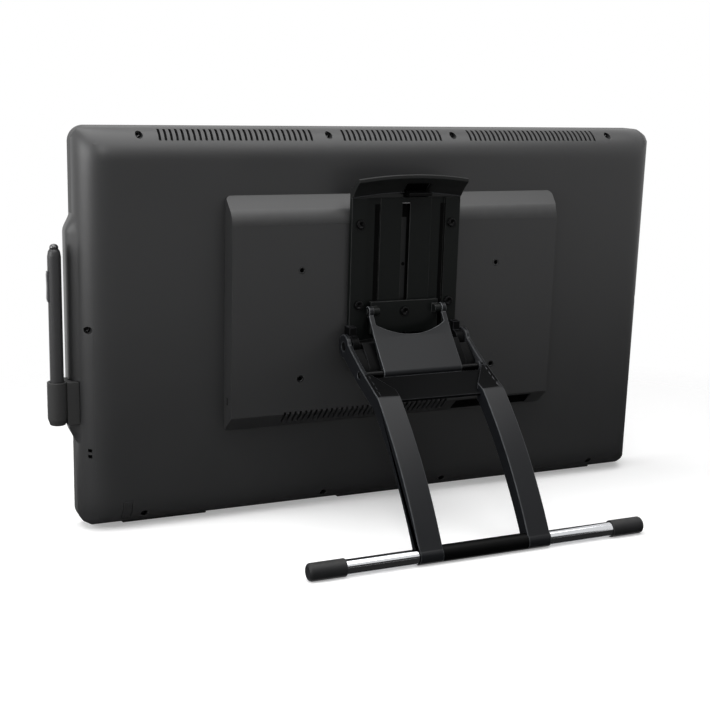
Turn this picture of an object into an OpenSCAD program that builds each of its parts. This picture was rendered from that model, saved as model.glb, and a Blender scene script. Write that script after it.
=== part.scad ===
// Pen display on an adjustable rear stand, with its pen.
// The screen faces -Y, +Z is up, and the origin is the middle of the middle foot's face on the table.
// Pieces of the screen unit are drawn upright, as x across, y back from the front, z up from the lower edge,
// and on_panel() then leans them back.

/* [Screen unit] */
// Lean of the screen from upright, in degrees
tilt = 4; // [0:0.5:10]
// Width of the screen unit
panel_w = 590; // [570:1:640]
// Height of the screen unit
panel_h = 358; // [348:1:400]
// Radius of the outline's corners
corner_r = 14; // [8:1:18]
// Depth of the front bezel, up to its seam with the rear cover
seam_d = 14; // [13:0.5:16]
// Depth of the screen unit at its flat back
body_d = 48; // [46:0.5:54]
// Radius of the rear cover's rounded edges
edge_round = 35; // [26:0.5:36]
// Thickness of the moulded walls
wall = 2.5; // [2:0.1:3]
// Thickness of the bezel's front
front_t = 3; // [2.5:0.1:3.5]
// Height of the lower front edge over the table
edge_lift = 3.2; // [2.8:0.1:5]
// Width of the bezel beside the window
bezel_side = 56; // [50:1:70]
// Width of the bezel over and under the window
bezel_end = 44; // [41:1:56]
// How far the glass reaches under the bezel
glass_lap = 10; // [6:0.5:12]

/* [Side rail] */
// How far the rail on the pen's side stands out
rail_out = 6; // [4:0.5:8]
// Lower end of the rail
rail_low = 88; // [60:1:92]
// Upper end of the rail
rail_high = 272; // [240:1:300]
// Length of the sloping ends
rail_slope = 14; // [8:1:20]
// Front of the rail
rail_front = 2; // [1:0.5:3]
// Depth of the rail, from front to back
rail_d = 11; // [9:0.5:11]

/* [Raised block] */
// Width of the block's flat face
block_w = 332; // [310:1:360]
// Lower edge of the block's flat face
block_low = 101; // [96:1:110]
// Upper edge of the block's flat face
block_high = 283; // [276:1:300]
// Height of the block over the flat back
block_rise = 16; // [15:0.5:20]
// Run of the slope below the face
block_slope_low = 15; // [10:0.5:18]
// Run of the slope above the face
block_slope_high = 17; // [10:0.5:20]
// Draft of the block's sides
block_draft = 1.5; // [0.5:0.1:3]
// Radius of the block's corners
block_corner = 5; // [4:0.5:14]

/* [Vents and screws] */
// Pitch of the vent slots
vent_pitch = 5.2; // [4.6:0.1:5.4]
// Width of a vent slot
vent_slot = 2.2; // [1.6:0.1:2.6]
// Length of a vent slot in the top edge
vent_len = 9; // [6:0.5:10]
// Lean of the slots in the top edge, in degrees
vent_lean = -9; // [-20:1:20]
// Slots in each outer group of the top edge
outer_vents = 28; // [10:1:28]
// Slots in the middle group of the top edge
middle_vents = 20; // [8:1:20]
// Slots along the block's lower edge, beside the sockets
block_vents = 33; // [10:1:33]
// Distance of the outer cover screws from the middle
screw_far = 240; // [236:1:244]
// Distance of the inner cover screws from the middle
screw_near = 64; // [61:1:66]
// Distance of the top row of screws from the top edge
screw_top = 6.5; // [6:0.1:7.5]
// Distance of the bottom row of screws from the lower edge
screw_low = 13; // [10:0.5:15]
// Distance of the side screws from the side edges
screw_side = 8; // [7:0.5:9]
// Height of the side screws
screw_side_h = 184; // [150:1:220]
// Depth of the screw wells
screw_well = 8; // [7.5:0.1:9]
// Radius of a cover screw's head
screw_head_r = 2.6; // [2.2:0.1:2.8]

/* [Arm mount] */
// Spacing of the mount holes across
mount_x = 200; // [190:1:210]
// Spacing of the mount holes up
mount_z = 100; // [90:1:110]
// Height of the mount pattern's middle
mount_h = 183.6; // [178:0.1:190]
// Radius of the threaded holes
thread_r = 1.65; // [1.6:0.05:2]
// Outer radius of a threaded insert
insert_r = 3.4; // [3:0.1:4]
// Length of a threaded insert
insert_len = 8; // [6:0.5:9]

/* [Stand bracket] */
// Width of the bracket
bracket_w = 110; // [108:1:116]
// Lower end of the bracket
bracket_low = 167; // [165:0.5:170]
// Upper end of the bracket
bracket_high = 298; // [290:1:304]
// Thickness of the bracket's plate
plate_t = 2.5; // [2.4:0.1:3.5]
// Width of the bracket's side flanges
flange_w = 15; // [14:0.5:15]
// Height of the side flanges over the plate
flange_rise = 3; // [2:0.1:3]
// Half width of the raised track
track_half = 26; // [22:0.5:26]
// Height of the track over the plate
track_rise = 1.5; // [1.5:0.1:2]
// Half width of the slot in the track
slot_half = 4; // [3.5:0.1:5]
// Upper end of the slot
slot_high = 293; // [280:1:293]
// Half spacing of the bracket screws across
bolt_x = 46.3; // [45:0.1:47]
// Height of the lower bracket screws
bolt_low = 200; // [192:1:205]
// Height of the upper bracket screws
bolt_high = 274; // [268:1:280]
// Radius of the bracket screws' heads
bolt_head_r = 4.2; // [3.5:0.1:4.5]
// Radius of the bracket screws' shanks
bolt_r = 2; // [1.8:0.1:2.2]

/* [Hood and release lever] */
// Height of the hood's top over the bracket
hood_h = 22; // [20:0.5:24]
// How far the hood stands out of the block
hood_out = 20; // [18:0.5:24]
// Thickness of the hood's lip
hood_lip = 4; // [3:0.5:5]
// Radius of the hood's arched top
hood_arch = 380; // [320:10:600]
// Middle of the release lever, across
lever_x = -8; // [-20:1:20]
// Width of the release lever
lever_w = 23; // [16:0.5:28]
// Thickness of the release lever
lever_t = 5; // [4:0.1:5.5]
// Radius of the lever's pivot pin
lever_pin_r = 1.2; // [1:0.05:1.4]

/* [Carriage and link] */
// Half width of the carriage
carriage_half = 34.5; // [33:0.1:34.6]
// Thickness of the carriage's plate
carriage_t = 3.5; // [3:0.1:4]
// Height of the carriage
carriage_h = 30; // [26:0.5:32]
// How far the link's upper pivot stands out of the block
stub_out = 11.5; // [11.2:0.1:13]
// Radius of the carriage's stub pins
stub_r = 2.4; // [2:0.1:2.6]
// Length of the link between its pivots
link_len = 61.3; // [58:0.1:64]
// Half width of the link plate
link_half = 39.6; // [39:0.1:39.8]
// Thickness of the link plate
link_t = 3; // [2.4:0.1:3.4]
// Width of the link's two arms
arm_w = 4.6; // [4:0.1:4.8]
// Depth of the round cut between the arms
arm_cut = 11; // [8:0.5:14]
// Length of the arms
arm_len = 14; // [12:0.5:16]
// Radius of the link pin
link_pin_r = 3; // [2.5:0.1:3.4]

/* [Leg frame] */
// Height of the leg hinge
hinge_h = 164; // [162:0.5:166]
// How far the leg hinge stands out of the block
hinge_out = 12; // [12:0.1:14]
// Radius of the leg hinge pin
hinge_pin_r = 4; // [3:0.1:4.5]
// Half width over the legs
leg_half = 63; // [63:0.5:68]
// Width of a leg
leg_w = 22; // [20:0.5:22]
// Thickness of the flange at the top of a leg
leg_flange = 4; // [3:0.1:4]
// Depth of a leg at its hinge
leg_top_d = 17; // [15:0.5:18]
// Depth of a leg at the bar
leg_low_d = 13; // [11:0.5:13.5]
// Distance of the link pin out from the hinge
pin_out = 35.6; // [34:0.1:37]
// Distance of the link pin below the hinge
pin_drop = 18.7; // [18:0.1:20]
// Distance of the knee out from the hinge
knee_out = 72.5; // [70:0.5:75]
// Distance of the knee below the hinge
knee_drop = 36; // [34:0.5:38]
// Distance of the bar out from the hinge
bar_out = 161.3; // [150:0.5:180]
// Thickness of the cross plate
cross_t = 3; // [2:0.1:3.5]

/* [Floor bar] */
// Half length of the bar over its caps
bar_half = 160.6; // [150:0.5:175]
// Radius of the bright tube
tube_r = 6.25; // [5.5:0.05:6.4]
// Radius of the rubber end caps
cap_r = 7.5; // [7.4:0.1:9]
// Length of an end cap
cap_len = 32.5; // [24:0.5:40]

/* [Pen and holder] */
// Distance of the pen out from the rail
pen_off = 10.5; // [10:0.5:11]
// Depth of the pen behind the front
pen_d = 18; // [15:0.5:18]
// Length of the pen
pen_len = 158; // [150:1:170]
// Greatest radius of the pen
pen_r = 6; // [5:0.1:6.2]
// Outer radius of the cup
cup_r = 8.75; // [8.5:0.05:9.5]
// Height of the cup
cup_h = 39; // [34:0.5:44]
// Height of the cup's lower end
cup_low = 97; // [95:1:110]
// Distance of the side switch's middle below the pen's top
switch_drop = 37; // [30:0.5:44]
// Length of the side switch
switch_len = 27; // [20:0.5:30]

/* [Keys] */
// Pitch of the function keys
key_pitch = 30; // [27:0.5:32]
// Width of a function key
key_w = 22; // [16:0.5:24]
// Height of a function key
key_h = 7; // [5:0.1:8]
// Distance of the key row from the top edge
key_drop = 20; // [19:0.5:21]
// Distance of the power button from the middle
power_x = 110; // [100:1:125]
// Radius of the power button
power_r = 4; // [3:0.1:4.5]
// How far a key stands out of the bezel
key_out = 1.2; // [1:0.1:1.5]

/* [Hidden] */
$fn = 64;

// Clearances: running fits, fixed fits, sliding faces, keys, and overlap of cutting tools
run_gap = 0.05;
fix_gap = 0.02;
slide_gap = 0.3;
key_gap = 0.25;
over = 1;
embed = 0.5;

// Layers of the screen, from front to back
glass_t = 2;
lcd_t = 6;
backlight_t = 4;
digitizer_t = 1;
shield_t = 1;
chassis_t = 1.5;
window_w = panel_w - 2 * bezel_side;
window_h = panel_h - 2 * bezel_end;
lcd_inset = 2;
tray_inset = 1;
glass_w = window_w + 2 * glass_lap;
glass_h = window_h + 2 * glass_lap;
glass_back = front_t + glass_t;
lcd_back = glass_back + lcd_t;
backlight_back = lcd_back + backlight_t;
digitizer_back = backlight_back + digitizer_t;
shield_back = digitizer_back + shield_t;
chassis_back = shield_back + chassis_t;
mid_h = panel_h / 2;

// Posts and screws inside the screen unit
post_r = 4.45;
chassis_margin = 6;
chassis_w = glass_w + 2 * (post_r * 2 + chassis_margin);
chassis_h = glass_h + 2 * chassis_margin;
chassis_post_x = glass_w / 2 + post_r + chassis_margin - 2;
chassis_post_z = [mid_h - glass_h / 2 + chassis_margin, mid_h, mid_h + glass_h / 2 - chassis_margin];
screw_r = 1.4;
screw_head_t = 2;
screw_bite = 10;
chassis_bite = 6;
well_gap = 0.5;

// Rounded edge of the rear cover: its centre, and the surface at a distance from the edge
round_c = body_d - edge_round;
corner_turns = [30, 60];
function corner_reach(turn) = corner_r + (panel_w / 2 - corner_r) * cos(turn)
    + (panel_h / 2 - corner_r) * sin(turn);
function edge_back(d) = round_c + (d >= edge_round ? edge_round
    : sqrt(pow(edge_round, 2) - pow(edge_round - d, 2)));

// Cover screws as [x, height, distance from the nearest edge]
cover_screw_spots = concat(
    [for (x = [-screw_far, -screw_near, screw_near, screw_far]) [x, panel_h - screw_top, screw_top]],
    [for (x = [-screw_far, -screw_near, screw_near, screw_far]) [x, screw_low, screw_low]],
    [for (side = [-1, 1]) [side * (panel_w / 2 - screw_side), screw_side_h, screw_side]]);
function screw_seat(spot) = edge_back(spot[2]) - screw_well;

// Block and the socket bay under it
face_d = body_d + block_rise;
bay_x = -150;
bay_w = 85;
bay_top = block_low + 3;
bay_front = body_d + 1;
bay_back = face_d - wall;

// Boards behind the chassis, in the block
board_t = 1.6;
board_d = body_d + 2;
board_back = board_d + board_t;
board_post_r = 3;
board_inset = 6;
main_board_x = -156;
main_board_w = 128;
main_board_h = 84;
power_board_x = 28;
power_board_w = 120;
power_board_h = 84;
board_low = bay_top + wall + 1;
coil_in = 20;
coil_w = 40;
coil_h = 30;
coil_back = face_d - wall - 2;

// Sockets as [x in the bay, width]; their mouths open down into the bay
socket_d = 8;
socket_len = 14;
bay_margin = 6;
socket_space = 4;
dc_space = 15;
video_x = bay_x + bay_margin;
video_w = 21;
usb_x = video_x + video_w + socket_space;
usb_w = 12;
dc_x = usb_x + usb_w + dc_space;
dc_r = 3.25;
dc_w = 10;
dc_d = 8.5;
socket_wall = 1;
socket_deep = 12;
socket_gap = 0.4;
socket_low = bay_top + socket_gap;

// Blanking plug low on the back
plug_x = 252;
plug_w = 9;
plug_low = 9;
plug_h = 19;
plug_gap = 0.35;

// Tether slots low on the side, and the lock slot in the block's side
tether_low = 68;
tether_size = 3.2;
tether_pitch = 5.5;
lock_h = 115;
lock_w = 7;
lock_t = 3;
lock_in = 9;
cut_front = seam_d + 4;
block_vent_x = 113;
block_vent_in = 4;
block_vent_up = 2;

// Bracket, track and carriage, as depths
plate_d = face_d + plate_t;
track_d = plate_d + track_rise;
flange_d = plate_d + flange_rise;
bracket_half = bracket_w / 2;
shoe_half = 9;
lip_t = track_rise + 0.3;
bolt_head_t = 2.4;
cross_slot = 1;
bolt_len = 12;
boss_wall = 2.5;
carriage_front = track_d + slide_gap;
carriage_back = carriage_front + carriage_t;

// Leg hinge, link pivots and bar, in the panel's plane
hinge_d = face_d + hinge_out;
pin_d = hinge_d + pin_out;
pin_h = hinge_h - pin_drop;
stub_d = face_d + stub_out;
link_lean = asin((pin_d - stub_d) / link_len);
stub_h = pin_h + link_len * cos(link_lean);
bar_d = hinge_d + bar_out;
bar_h = (cap_r - edge_lift + bar_d * sin(tilt)) / cos(tilt);
lug_r = 9;
lug_in = 50;
ear_low = 2;
ear_high = 14;
washer_t = 1.8;
washer_r = hinge_pin_r + 3;
washer_gap = 0.2;
lug_out = leg_half - leg_flange - washer_t - washer_gap;
leg_hub_r = 11;
leg_foot_r = cap_r - 0.3;
sleeve_wall = 0.9;
sleeve_r = tube_r + sleeve_wall;
cap_solid = 10.5;
cap_dome = 3;
eye_r = link_pin_r + 1.6;
link_fairing = 34;
carriage_lead = 8;
carriage_top = stub_h + carriage_lead;
carriage_low = carriage_top - carriage_h;
slider_bolt_up = 20;
slider_bolt_h = carriage_low + slider_bolt_up;
stub_boss_w = 6;
stub_tail = 0.8;
stub_boss_r = stub_r + 1.6;
hook_r = stub_r + 2.6;
hook_mouth = 4;

// Leg centre line: two curves that meet at the knee, as [depth, height], for t from 0 to 2
knee = [hinge_d + knee_out, hinge_h - knee_drop];
upper_share = [0.331, 0.444];
lower_share = [0.6025, 0.4295];
upper_bend = [hinge_d + knee_out * upper_share[0], hinge_h - knee_drop * upper_share[1]];
lower_bend = [knee[0] + (bar_d - knee[0]) * lower_share[0], knee[1] + (bar_h - knee[1]) * lower_share[1]];
box_start = 0.64;
cross_from = 0.66;
cross_in = 5;
gusset_run = 26;
leg_steps = 12;
past_knee = 1.001;
function upper_times(from) = [for (i = [0 : leg_steps]) from + (1 - from) * i / leg_steps];
lower_times = concat([past_knee], [for (i = [1 : leg_steps]) 1 + i / leg_steps]);
function curve(a, b, c, t) = pow(1 - t, 2) * a + 2 * t * (1 - t) * b + pow(t, 2) * c;
function slope(a, b, c, t) = (1 - t) * (b - a) + t * (c - b);
function leg_mid(t) = t <= 1 ? curve([hinge_d, hinge_h], upper_bend, knee, t)
    : curve(knee, lower_bend, [bar_d, bar_h], t - 1);
function leg_slope(t) = t <= 1 ? slope([hinge_d, hinge_h], upper_bend, knee, t)
    : slope(knee, lower_bend, [bar_d, bar_h], t - 1);
function leg_normal(t) = let (s = leg_slope(t)) [-s[1], s[0]] / norm(s);
function leg_edge(t) = (leg_top_d + (leg_low_d - leg_top_d) * t / 2) / 2;
function leg_band(times, out, in) = concat(
    [for (t = times) leg_mid(t) + leg_normal(t) * (leg_edge(t) + out)],
    [for (i = [len(times) - 1 : -1 : 0]) if (times[i] != past_knee)
        leg_mid(times[i]) + leg_normal(times[i]) * in(times[i])]);

// Pen, from its tip upwards
rail_x = panel_w / 2 + rail_out;
pen_x = rail_x + pen_off;
cup_wall = 2;
cup_floor = 1.5;
cup_lip = 3;
lip_gap = 0.4;
nib_clear = 1.6;
cup_taper = 2;
cup_taper_h = 6;
pen_low = cup_low + cup_floor + nib_clear;
pen_cap_len = 4.5;
pen_cap_r = pen_r - 2.2;
nib_out = 3;
nib_r = 0.9;
nib_room = 1.2;
nib_len = 12;
cone_tip_r = 1.7;
cone_r = 4.6;
cone_h = 18;
grip_h = 34;
lip_r = pen_r + lip_gap;
pen_neck = 6.5;
pen_shoulder = 2;
pen_shoulder_in = 0.9;
pen_thin = 0.1;
cap_edge = 1.8;
holder_t = 3;
holder_hug = 8;
holder_over = 7;
holder_back = pen_d + holder_over;
tongue_len = 3;
tongue_t = 4;
tongue_half = 12;
tongue_gap = 0.1;
tongue_d = rail_front + (rail_d - tongue_t) / 2;
tongue_h = cup_low + cup_h / 2;
switch_w = 5;
switch_gap = 0.2;
switch_pocket = 2.5;
pocket_half = switch_w / 2 + switch_gap;
switch_ridge_r = 0.5;
switch_in = 1.8;
switch_end = 0.6;
switch_out = 1.1;
switch_waist = 0.8;
switch_ramp = 3;
switch_mid = pen_len - switch_drop;
switch_h = pen_low + switch_mid;

// Keys and their board
key_h_mid = panel_h - key_drop;
key_flange = 1;
key_flange_t = 1;
key_travel_room = 1.1;
key_board_d = front_t + 4;
key_post_r = 3;
key_post_in = 4;
dome_half = 2.5;
flange_front = front_t + slide_gap;
switch_top = flange_front + key_flange_t + key_travel_room;
key_xs = [for (i = [0 : 3]) (i - 1.5) * key_pitch];
key_board_end = 10;
key_board_low = -power_x - power_r - key_board_end;
key_board_high = key_xs[3] + key_w / 2 + key_board_end;
key_board_half = 6;

// Feet under the lower edge
foot_front = 3;
foot_back = 19;
foot_mid = (foot_front + foot_back) / 2;
foot_len = 80;
foot_x = 215;
foot_room = 10;

// Moves upright pieces to their leaning place
module on_panel() {
    translate([0, -foot_mid * cos(tilt), edge_lift]) rotate([-tilt, 0, 0]) children();
}

// Draws a flat shape of [across, up] as a slab from one depth to another
module slab(from, to) {
    translate([0, to, 0]) rotate([90, 0, 0]) linear_extrude(to - from) children();
}

// Draws a profile of [depth, up] as a bar from one x to another
module along_x(from, to) {
    translate([from, 0, 0]) rotate([90, 0, 90]) linear_extrude(to - from) children();
}

// Draws a profile of [across, depth] as a bar from one height to another
module along_z(from, to) {
    translate([0, 0, from]) linear_extrude(to - from) children();
}

// Rod across, from one x to another
module rod_x(from, to, d, h, r) {
    translate([from, d, h]) rotate([0, 90, 0]) cylinder(h = to - from, r = r);
}

// Rod from front to back
module rod_y(x, from, to, h, r) {
    translate([x, from, h]) rotate([-90, 0, 0]) cylinder(h = to - from, r = r);
}

// Box between two corners
module block(low, high) {
    translate(low) cube(high - low);
}

// Rectangle with round corners, centred across, from one height to another
module round_rect(width, low, high, r) {
    translate([-width / 2 + r, low]) square([width - 2 * r, high - low]);
    translate([-width / 2, low + r]) square([width, high - low - 2 * r]);
    for (x = [-1, 1], z = [low + r, high - r])
        translate([x * (width / 2 - r), z]) circle(r);
}

// Profile with its two back corners rounded, from one side to the other
module round_back(low, high, front, back, r) {
    translate([low, front]) square([high - low, back - r - front]);
    translate([low + r, front]) square([high - low - 2 * r, back - front]);
    for (x = [low + r, high - r])
        translate([x, back - r]) circle(r);
}

// Bar across two opposite corners of the rear cover, with the same rounded edges
module cover_corners(turn, margin) {
    reach = corner_reach(abs(turn)) - margin;
    translate([0, 0, mid_h]) rotate([0, turn, 0]) along_z(-panel_w, panel_w)
        round_back(-reach, reach, seam_d, body_d - margin, edge_round - margin);
}

// Rounded body of the rear cover, drawn in by a margin all round
module cover_body(margin) {
    half = panel_w / 2 - margin;
    back = body_d - margin;
    r = edge_round - margin;
    intersection() {
        slab(seam_d, back + over)
            round_rect(2 * half, margin, panel_h - margin, corner_r - margin);
        along_z(-over, panel_h + over)
            round_back(-half, half, seam_d, back, r);
        along_x(-half - over, half + over)
            rotate(90) mirror([0, 1]) round_back(margin, panel_h - margin, seam_d, back, r);
        cover_corners(corner_turns[0], margin);
        cover_corners(-corner_turns[0], margin);
        cover_corners(corner_turns[1], margin);
        cover_corners(-corner_turns[1], margin);
    }
}

// Raised block on the back, drawn in by a margin all round
module cover_block(margin) {
    root = body_d - edge_round / 2;
    top = face_d - margin;
    grow = block_rise + edge_round / 2;
    low_run = block_slope_low / block_rise * grow;
    high_run = block_slope_high / block_rise * grow;
    draft = block_draft / block_rise * grow;
    half = block_w / 2 - margin;
    low = block_low + margin;
    high = block_high - margin;
    intersection() {
        along_x(-panel_w / 2, panel_w / 2)
            polygon([[root, low - low_run], [top, low], [top, high], [root, high + high_run]]);
        along_z(0, panel_h)
            polygon([[-half - draft, root], [-half, top], [half, top], [half + draft, root]]);
        slab(root - over, top + over)
            round_rect(block_w + 2 * block_draft - 2 * margin, block_low - block_slope_low + margin,
                block_high + block_slope_high - margin, block_corner - margin);
    }
}

// Row of leaning slots through the top edge of the rear cover
module top_vents(middle, count) {
    for (i = [0 : count - 1])
        translate([middle + (i - (count - 1) / 2) * vent_pitch, 0, panel_h - screw_top])
            rotate([0, vent_lean, 0])
                translate([-vent_slot / 2, seam_d + over, -vent_len / 2]) cube([vent_slot, body_d, vent_len]);
}

module front_bezel() {
    color("#1c1d1f") on_panel() difference() {
        union() {
            difference() {
                slab(0, seam_d) round_rect(panel_w, 0, panel_h, corner_r);
                slab(front_t, seam_d + over)
                    round_rect(panel_w - 2 * wall, wall, panel_h - wall, corner_r - wall);
                block([-window_w / 2, -over, mid_h - window_h / 2],
                    [window_w / 2, seam_d, mid_h + window_h / 2]);
            }
            slab(rail_front, rail_front + rail_d)
                polygon([[panel_w / 2 - wall, rail_low], [panel_w / 2, rail_low],
                    [rail_x, rail_low + rail_slope], [rail_x, rail_high - rail_slope],
                    [panel_w / 2, rail_high], [panel_w / 2 - wall, rail_high]]);
            for (spot = cover_screw_spots)
                rod_y(spot[0], front_t - embed, seam_d, spot[1], post_r);
            for (side = [-1, 1], z = chassis_post_z)
                rod_y(side * chassis_post_x, front_t - embed, shield_back, z, post_r);
            for (x = [key_board_low + key_post_in, key_board_high - key_post_in])
                rod_y(x, front_t - embed, key_board_d, key_h_mid, key_post_r);
        }
        for (spot = cover_screw_spots)
            rod_y(spot[0], seam_d - screw_bite - over, seam_d + over, spot[1], screw_r + fix_gap);
        for (side = [-1, 1], z = chassis_post_z)
            rod_y(side * chassis_post_x, shield_back - chassis_bite - over, shield_back + over, z,
                screw_r + fix_gap);
        for (x = key_xs)
            block([x - key_w / 2 - key_gap, -over, key_h_mid - key_h / 2 - key_gap],
                [x + key_w / 2 + key_gap, front_t + over, key_h_mid + key_h / 2 + key_gap]);
        rod_y(-power_x, -over, front_t + over, key_h_mid, power_r + key_gap);
        block([rail_x - tongue_len - slide_gap, tongue_d - tongue_gap, tongue_h - tongue_half - tongue_gap],
            [rail_x + over, tongue_d + tongue_t + tongue_gap, tongue_h + tongue_half + tongue_gap]);
    }
}

// Layer of the screen, from one depth to another
module layer(width, height, from, to) {
    block([-width / 2, from, mid_h - height / 2], [width / 2, to, mid_h + height / 2]);
}

module cover_glass() {
    color("#0d0f12") on_panel() layer(glass_w, glass_h, front_t, glass_back);
}

module lcd_panel() {
    color("#23262b") on_panel()
        layer(glass_w - 2 * lcd_inset, glass_h - 2 * lcd_inset, glass_back, lcd_back);
}

module backlight_tray() {
    color("#b8babd") on_panel()
        layer(glass_w - 2 * tray_inset, glass_h - 2 * tray_inset, lcd_back, backlight_back);
}

module digitizer_sheet() {
    color("#2f6b45") on_panel()
        layer(glass_w - 2 * tray_inset, glass_h - 2 * tray_inset, backlight_back, digitizer_back);
}

module shield_plate() {
    color("#9fa3a8") on_panel() layer(glass_w, glass_h, digitizer_back, shield_back);
}

// Post spots of a board, inset from its corners, as [x, height]
function board_spots(x, width, height) = [for (dx = [board_inset, width - board_inset],
    dz = [board_inset, height - board_inset]) [x + dx, board_low + dz]];

module chassis_frame() {
    spots = concat(board_spots(main_board_x, main_board_w, main_board_h),
        board_spots(power_board_x, power_board_w, power_board_h));
    color("#8f9398") on_panel() difference() {
        union() {
            layer(chassis_w, chassis_h, shield_back, chassis_back);
            for (spot = spots)
                rod_y(spot[0], chassis_back - embed, board_d, spot[1], board_post_r);
        }
        for (side = [-1, 1], z = chassis_post_z)
            rod_y(side * chassis_post_x, shield_back - over, chassis_back + over, z, screw_r + fix_gap);
    }
}

module chassis_screws() {
    color("#c6c8cb") on_panel() for (side = [-1, 1], z = chassis_post_z) {
        rod_y(side * chassis_post_x, chassis_back, chassis_back + screw_head_t, z, screw_head_r);
        rod_y(side * chassis_post_x, shield_back - chassis_bite, chassis_back + over, z, screw_r);
    }
}

module main_board() {
    color("#1f5a34") on_panel()
        block([main_board_x, board_d, board_low],
            [main_board_x + main_board_w, board_back, board_low + main_board_h]);
}

module power_board() {
    color("#7a5a2a") on_panel() {
        block([power_board_x, board_d, board_low],
            [power_board_x + power_board_w, board_back, board_low + power_board_h]);
        block([power_board_x + coil_in, board_back - embed, board_low + coil_in],
            [power_board_x + coil_in + coil_w, coil_back, board_low + coil_in + coil_h]);
    }
}

module key_board() {
    color("#1f5a34") on_panel() {
        block([key_board_low, key_board_d, key_h_mid - key_board_half],
            [key_board_high, key_board_d + board_t, key_h_mid + key_board_half]);
        for (x = concat(key_xs, [-power_x]))
            block([x - dome_half, switch_top, key_h_mid - dome_half],
                [x + dome_half, key_board_d + embed, key_h_mid + dome_half]);
    }
}

// Flat socket on the main board, with its mouth down
module flat_socket(x, width) {
    difference() {
        block([x, board_back, socket_low], [x + width, board_back + socket_d, socket_low + socket_len]);
        block([x + socket_wall, board_back + socket_wall, socket_low - over],
            [x + width - socket_wall, board_back + socket_d - socket_wall, socket_low + socket_deep]);
    }
}

module video_socket() {
    color("#a8abaf") on_panel() flat_socket(video_x, video_w);
}

module usb_socket() {
    color("#a8abaf") on_panel() flat_socket(usb_x, usb_w);
}

module power_socket() {
    color("#202124") on_panel() difference() {
        block([dc_x, board_back, socket_low], [dc_x + dc_w, board_back + dc_d, socket_low + socket_len]);
        translate([dc_x + dc_w / 2, board_back + dc_d / 2, socket_low - over])
            cylinder(h = socket_deep + over, r = dc_r);
    }
}

// Outer solid of the rear cover, before its openings
module cover_outer() {
    cover_body(0);
    cover_block(0);
}

// Hollow of the rear cover
module cover_hollow() {
    cover_body(wall);
    cover_block(wall);
    slab(seam_d - over, seam_d + embed)
        round_rect(panel_w - 2 * wall, wall, panel_h - wall, corner_r - wall);
}

// Ribs and bosses inside the rear cover, kept within its outside
module cover_bosses() {
    intersection() {
        cover_outer();
        union() {
            for (spot = cover_screw_spots)
                rod_y(spot[0], seam_d, body_d, spot[1], post_r);
            for (x = [-1, 1] * mount_x / 2, z = [-1, 1] * mount_z / 2)
                rod_y(x, face_d - insert_len, face_d, mount_h + z, insert_r + boss_wall);
            for (x = [-1, 1] * bolt_x, z = [bolt_low, bolt_high])
                rod_y(x, flange_d - bolt_len, face_d, z, bolt_r + boss_wall);
            block([bay_x - wall, body_d - wall, 0], [bay_x + bay_w + wall, face_d, bay_top + wall]);
        }
    }
}

module rear_cover() {
    color("#3a3b3d") on_panel() difference() {
        union() {
            difference() {
                cover_outer();
                cover_hollow();
            }
            cover_bosses();
        }
        for (spot = cover_screw_spots) {
            rod_y(spot[0], screw_seat(spot), body_d + over, spot[1], screw_head_r + well_gap);
            rod_y(spot[0], seam_d - over, body_d, spot[1], screw_r + fix_gap);
        }
        for (x = [-1, 1] * mount_x / 2, z = [-1, 1] * mount_z / 2)
            rod_y(x, face_d - insert_len - over, face_d + over, mount_h + z, insert_r + fix_gap);
        for (x = [-1, 1] * bolt_x, z = [bolt_low, bolt_high])
            rod_y(x, flange_d - bolt_len - over, face_d + over, z, bolt_r + fix_gap);
        for (side = [-1, 1])
            top_vents(side * (screw_near + screw_far) / 2, outer_vents);
        top_vents(0, middle_vents);
        for (i = [0 : block_vents - 1])
            translate([block_vent_x - i * vent_pitch, 0, 0])
                block([0, body_d + block_vent_in, block_low - block_slope_low - over],
                    [vent_slot, face_d + over, block_low + block_vent_up]);
        block([bay_x, bay_front, 0], [bay_x + bay_w, bay_back, bay_top]);
        for (socket = [[video_x, video_w, socket_d], [usb_x, usb_w, socket_d], [dc_x, dc_w, dc_d]])
            block([socket[0] - socket_gap, board_back - socket_gap, bay_top - over],
                [socket[0] + socket[1] + socket_gap, board_back + socket[2] + socket_gap,
                    bay_top + wall + over]);
        block([plug_x, cut_front, plug_low], [plug_x + plug_w, body_d + over, plug_low + plug_h]);
        for (low = [tether_low, tether_low + tether_pitch])
            block([panel_w / 2 - screw_side - tether_size / 2, cut_front, low],
                [panel_w / 2 - screw_side + tether_size / 2, body_d, low + tether_size]);
        block([block_w / 2 - wall - over, face_d - lock_in - lock_t / 2, lock_h - lock_w / 2],
            [block_w / 2 + block_draft + over, face_d - lock_in + lock_t / 2, lock_h + lock_w / 2]);
    }
}

module rear_plug() {
    color("#333436") on_panel() intersection() {
        difference() {
            cover_outer();
            cover_hollow();
        }
        block([plug_x + plug_gap, cut_front, plug_low + plug_gap],
            [plug_x + plug_w - plug_gap, body_d + over, plug_low + plug_h - plug_gap]);
    }
}

module cover_screws() {
    color("#141416") on_panel() for (spot = cover_screw_spots) {
        rod_y(spot[0], screw_seat(spot), screw_seat(spot) + screw_head_t, spot[1], screw_head_r);
        rod_y(spot[0], seam_d - screw_bite, screw_seat(spot) + over, spot[1], screw_r);
    }
}

module mount_inserts() {
    color("#b9bcc0") on_panel() for (x = [-1, 1] * mount_x / 2, z = [-1, 1] * mount_z / 2)
        difference() {
            rod_y(x, face_d - insert_len, face_d, mount_h + z, insert_r);
            rod_y(x, face_d - insert_len - over, face_d + over, mount_h + z, thread_r);
        }
}

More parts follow.
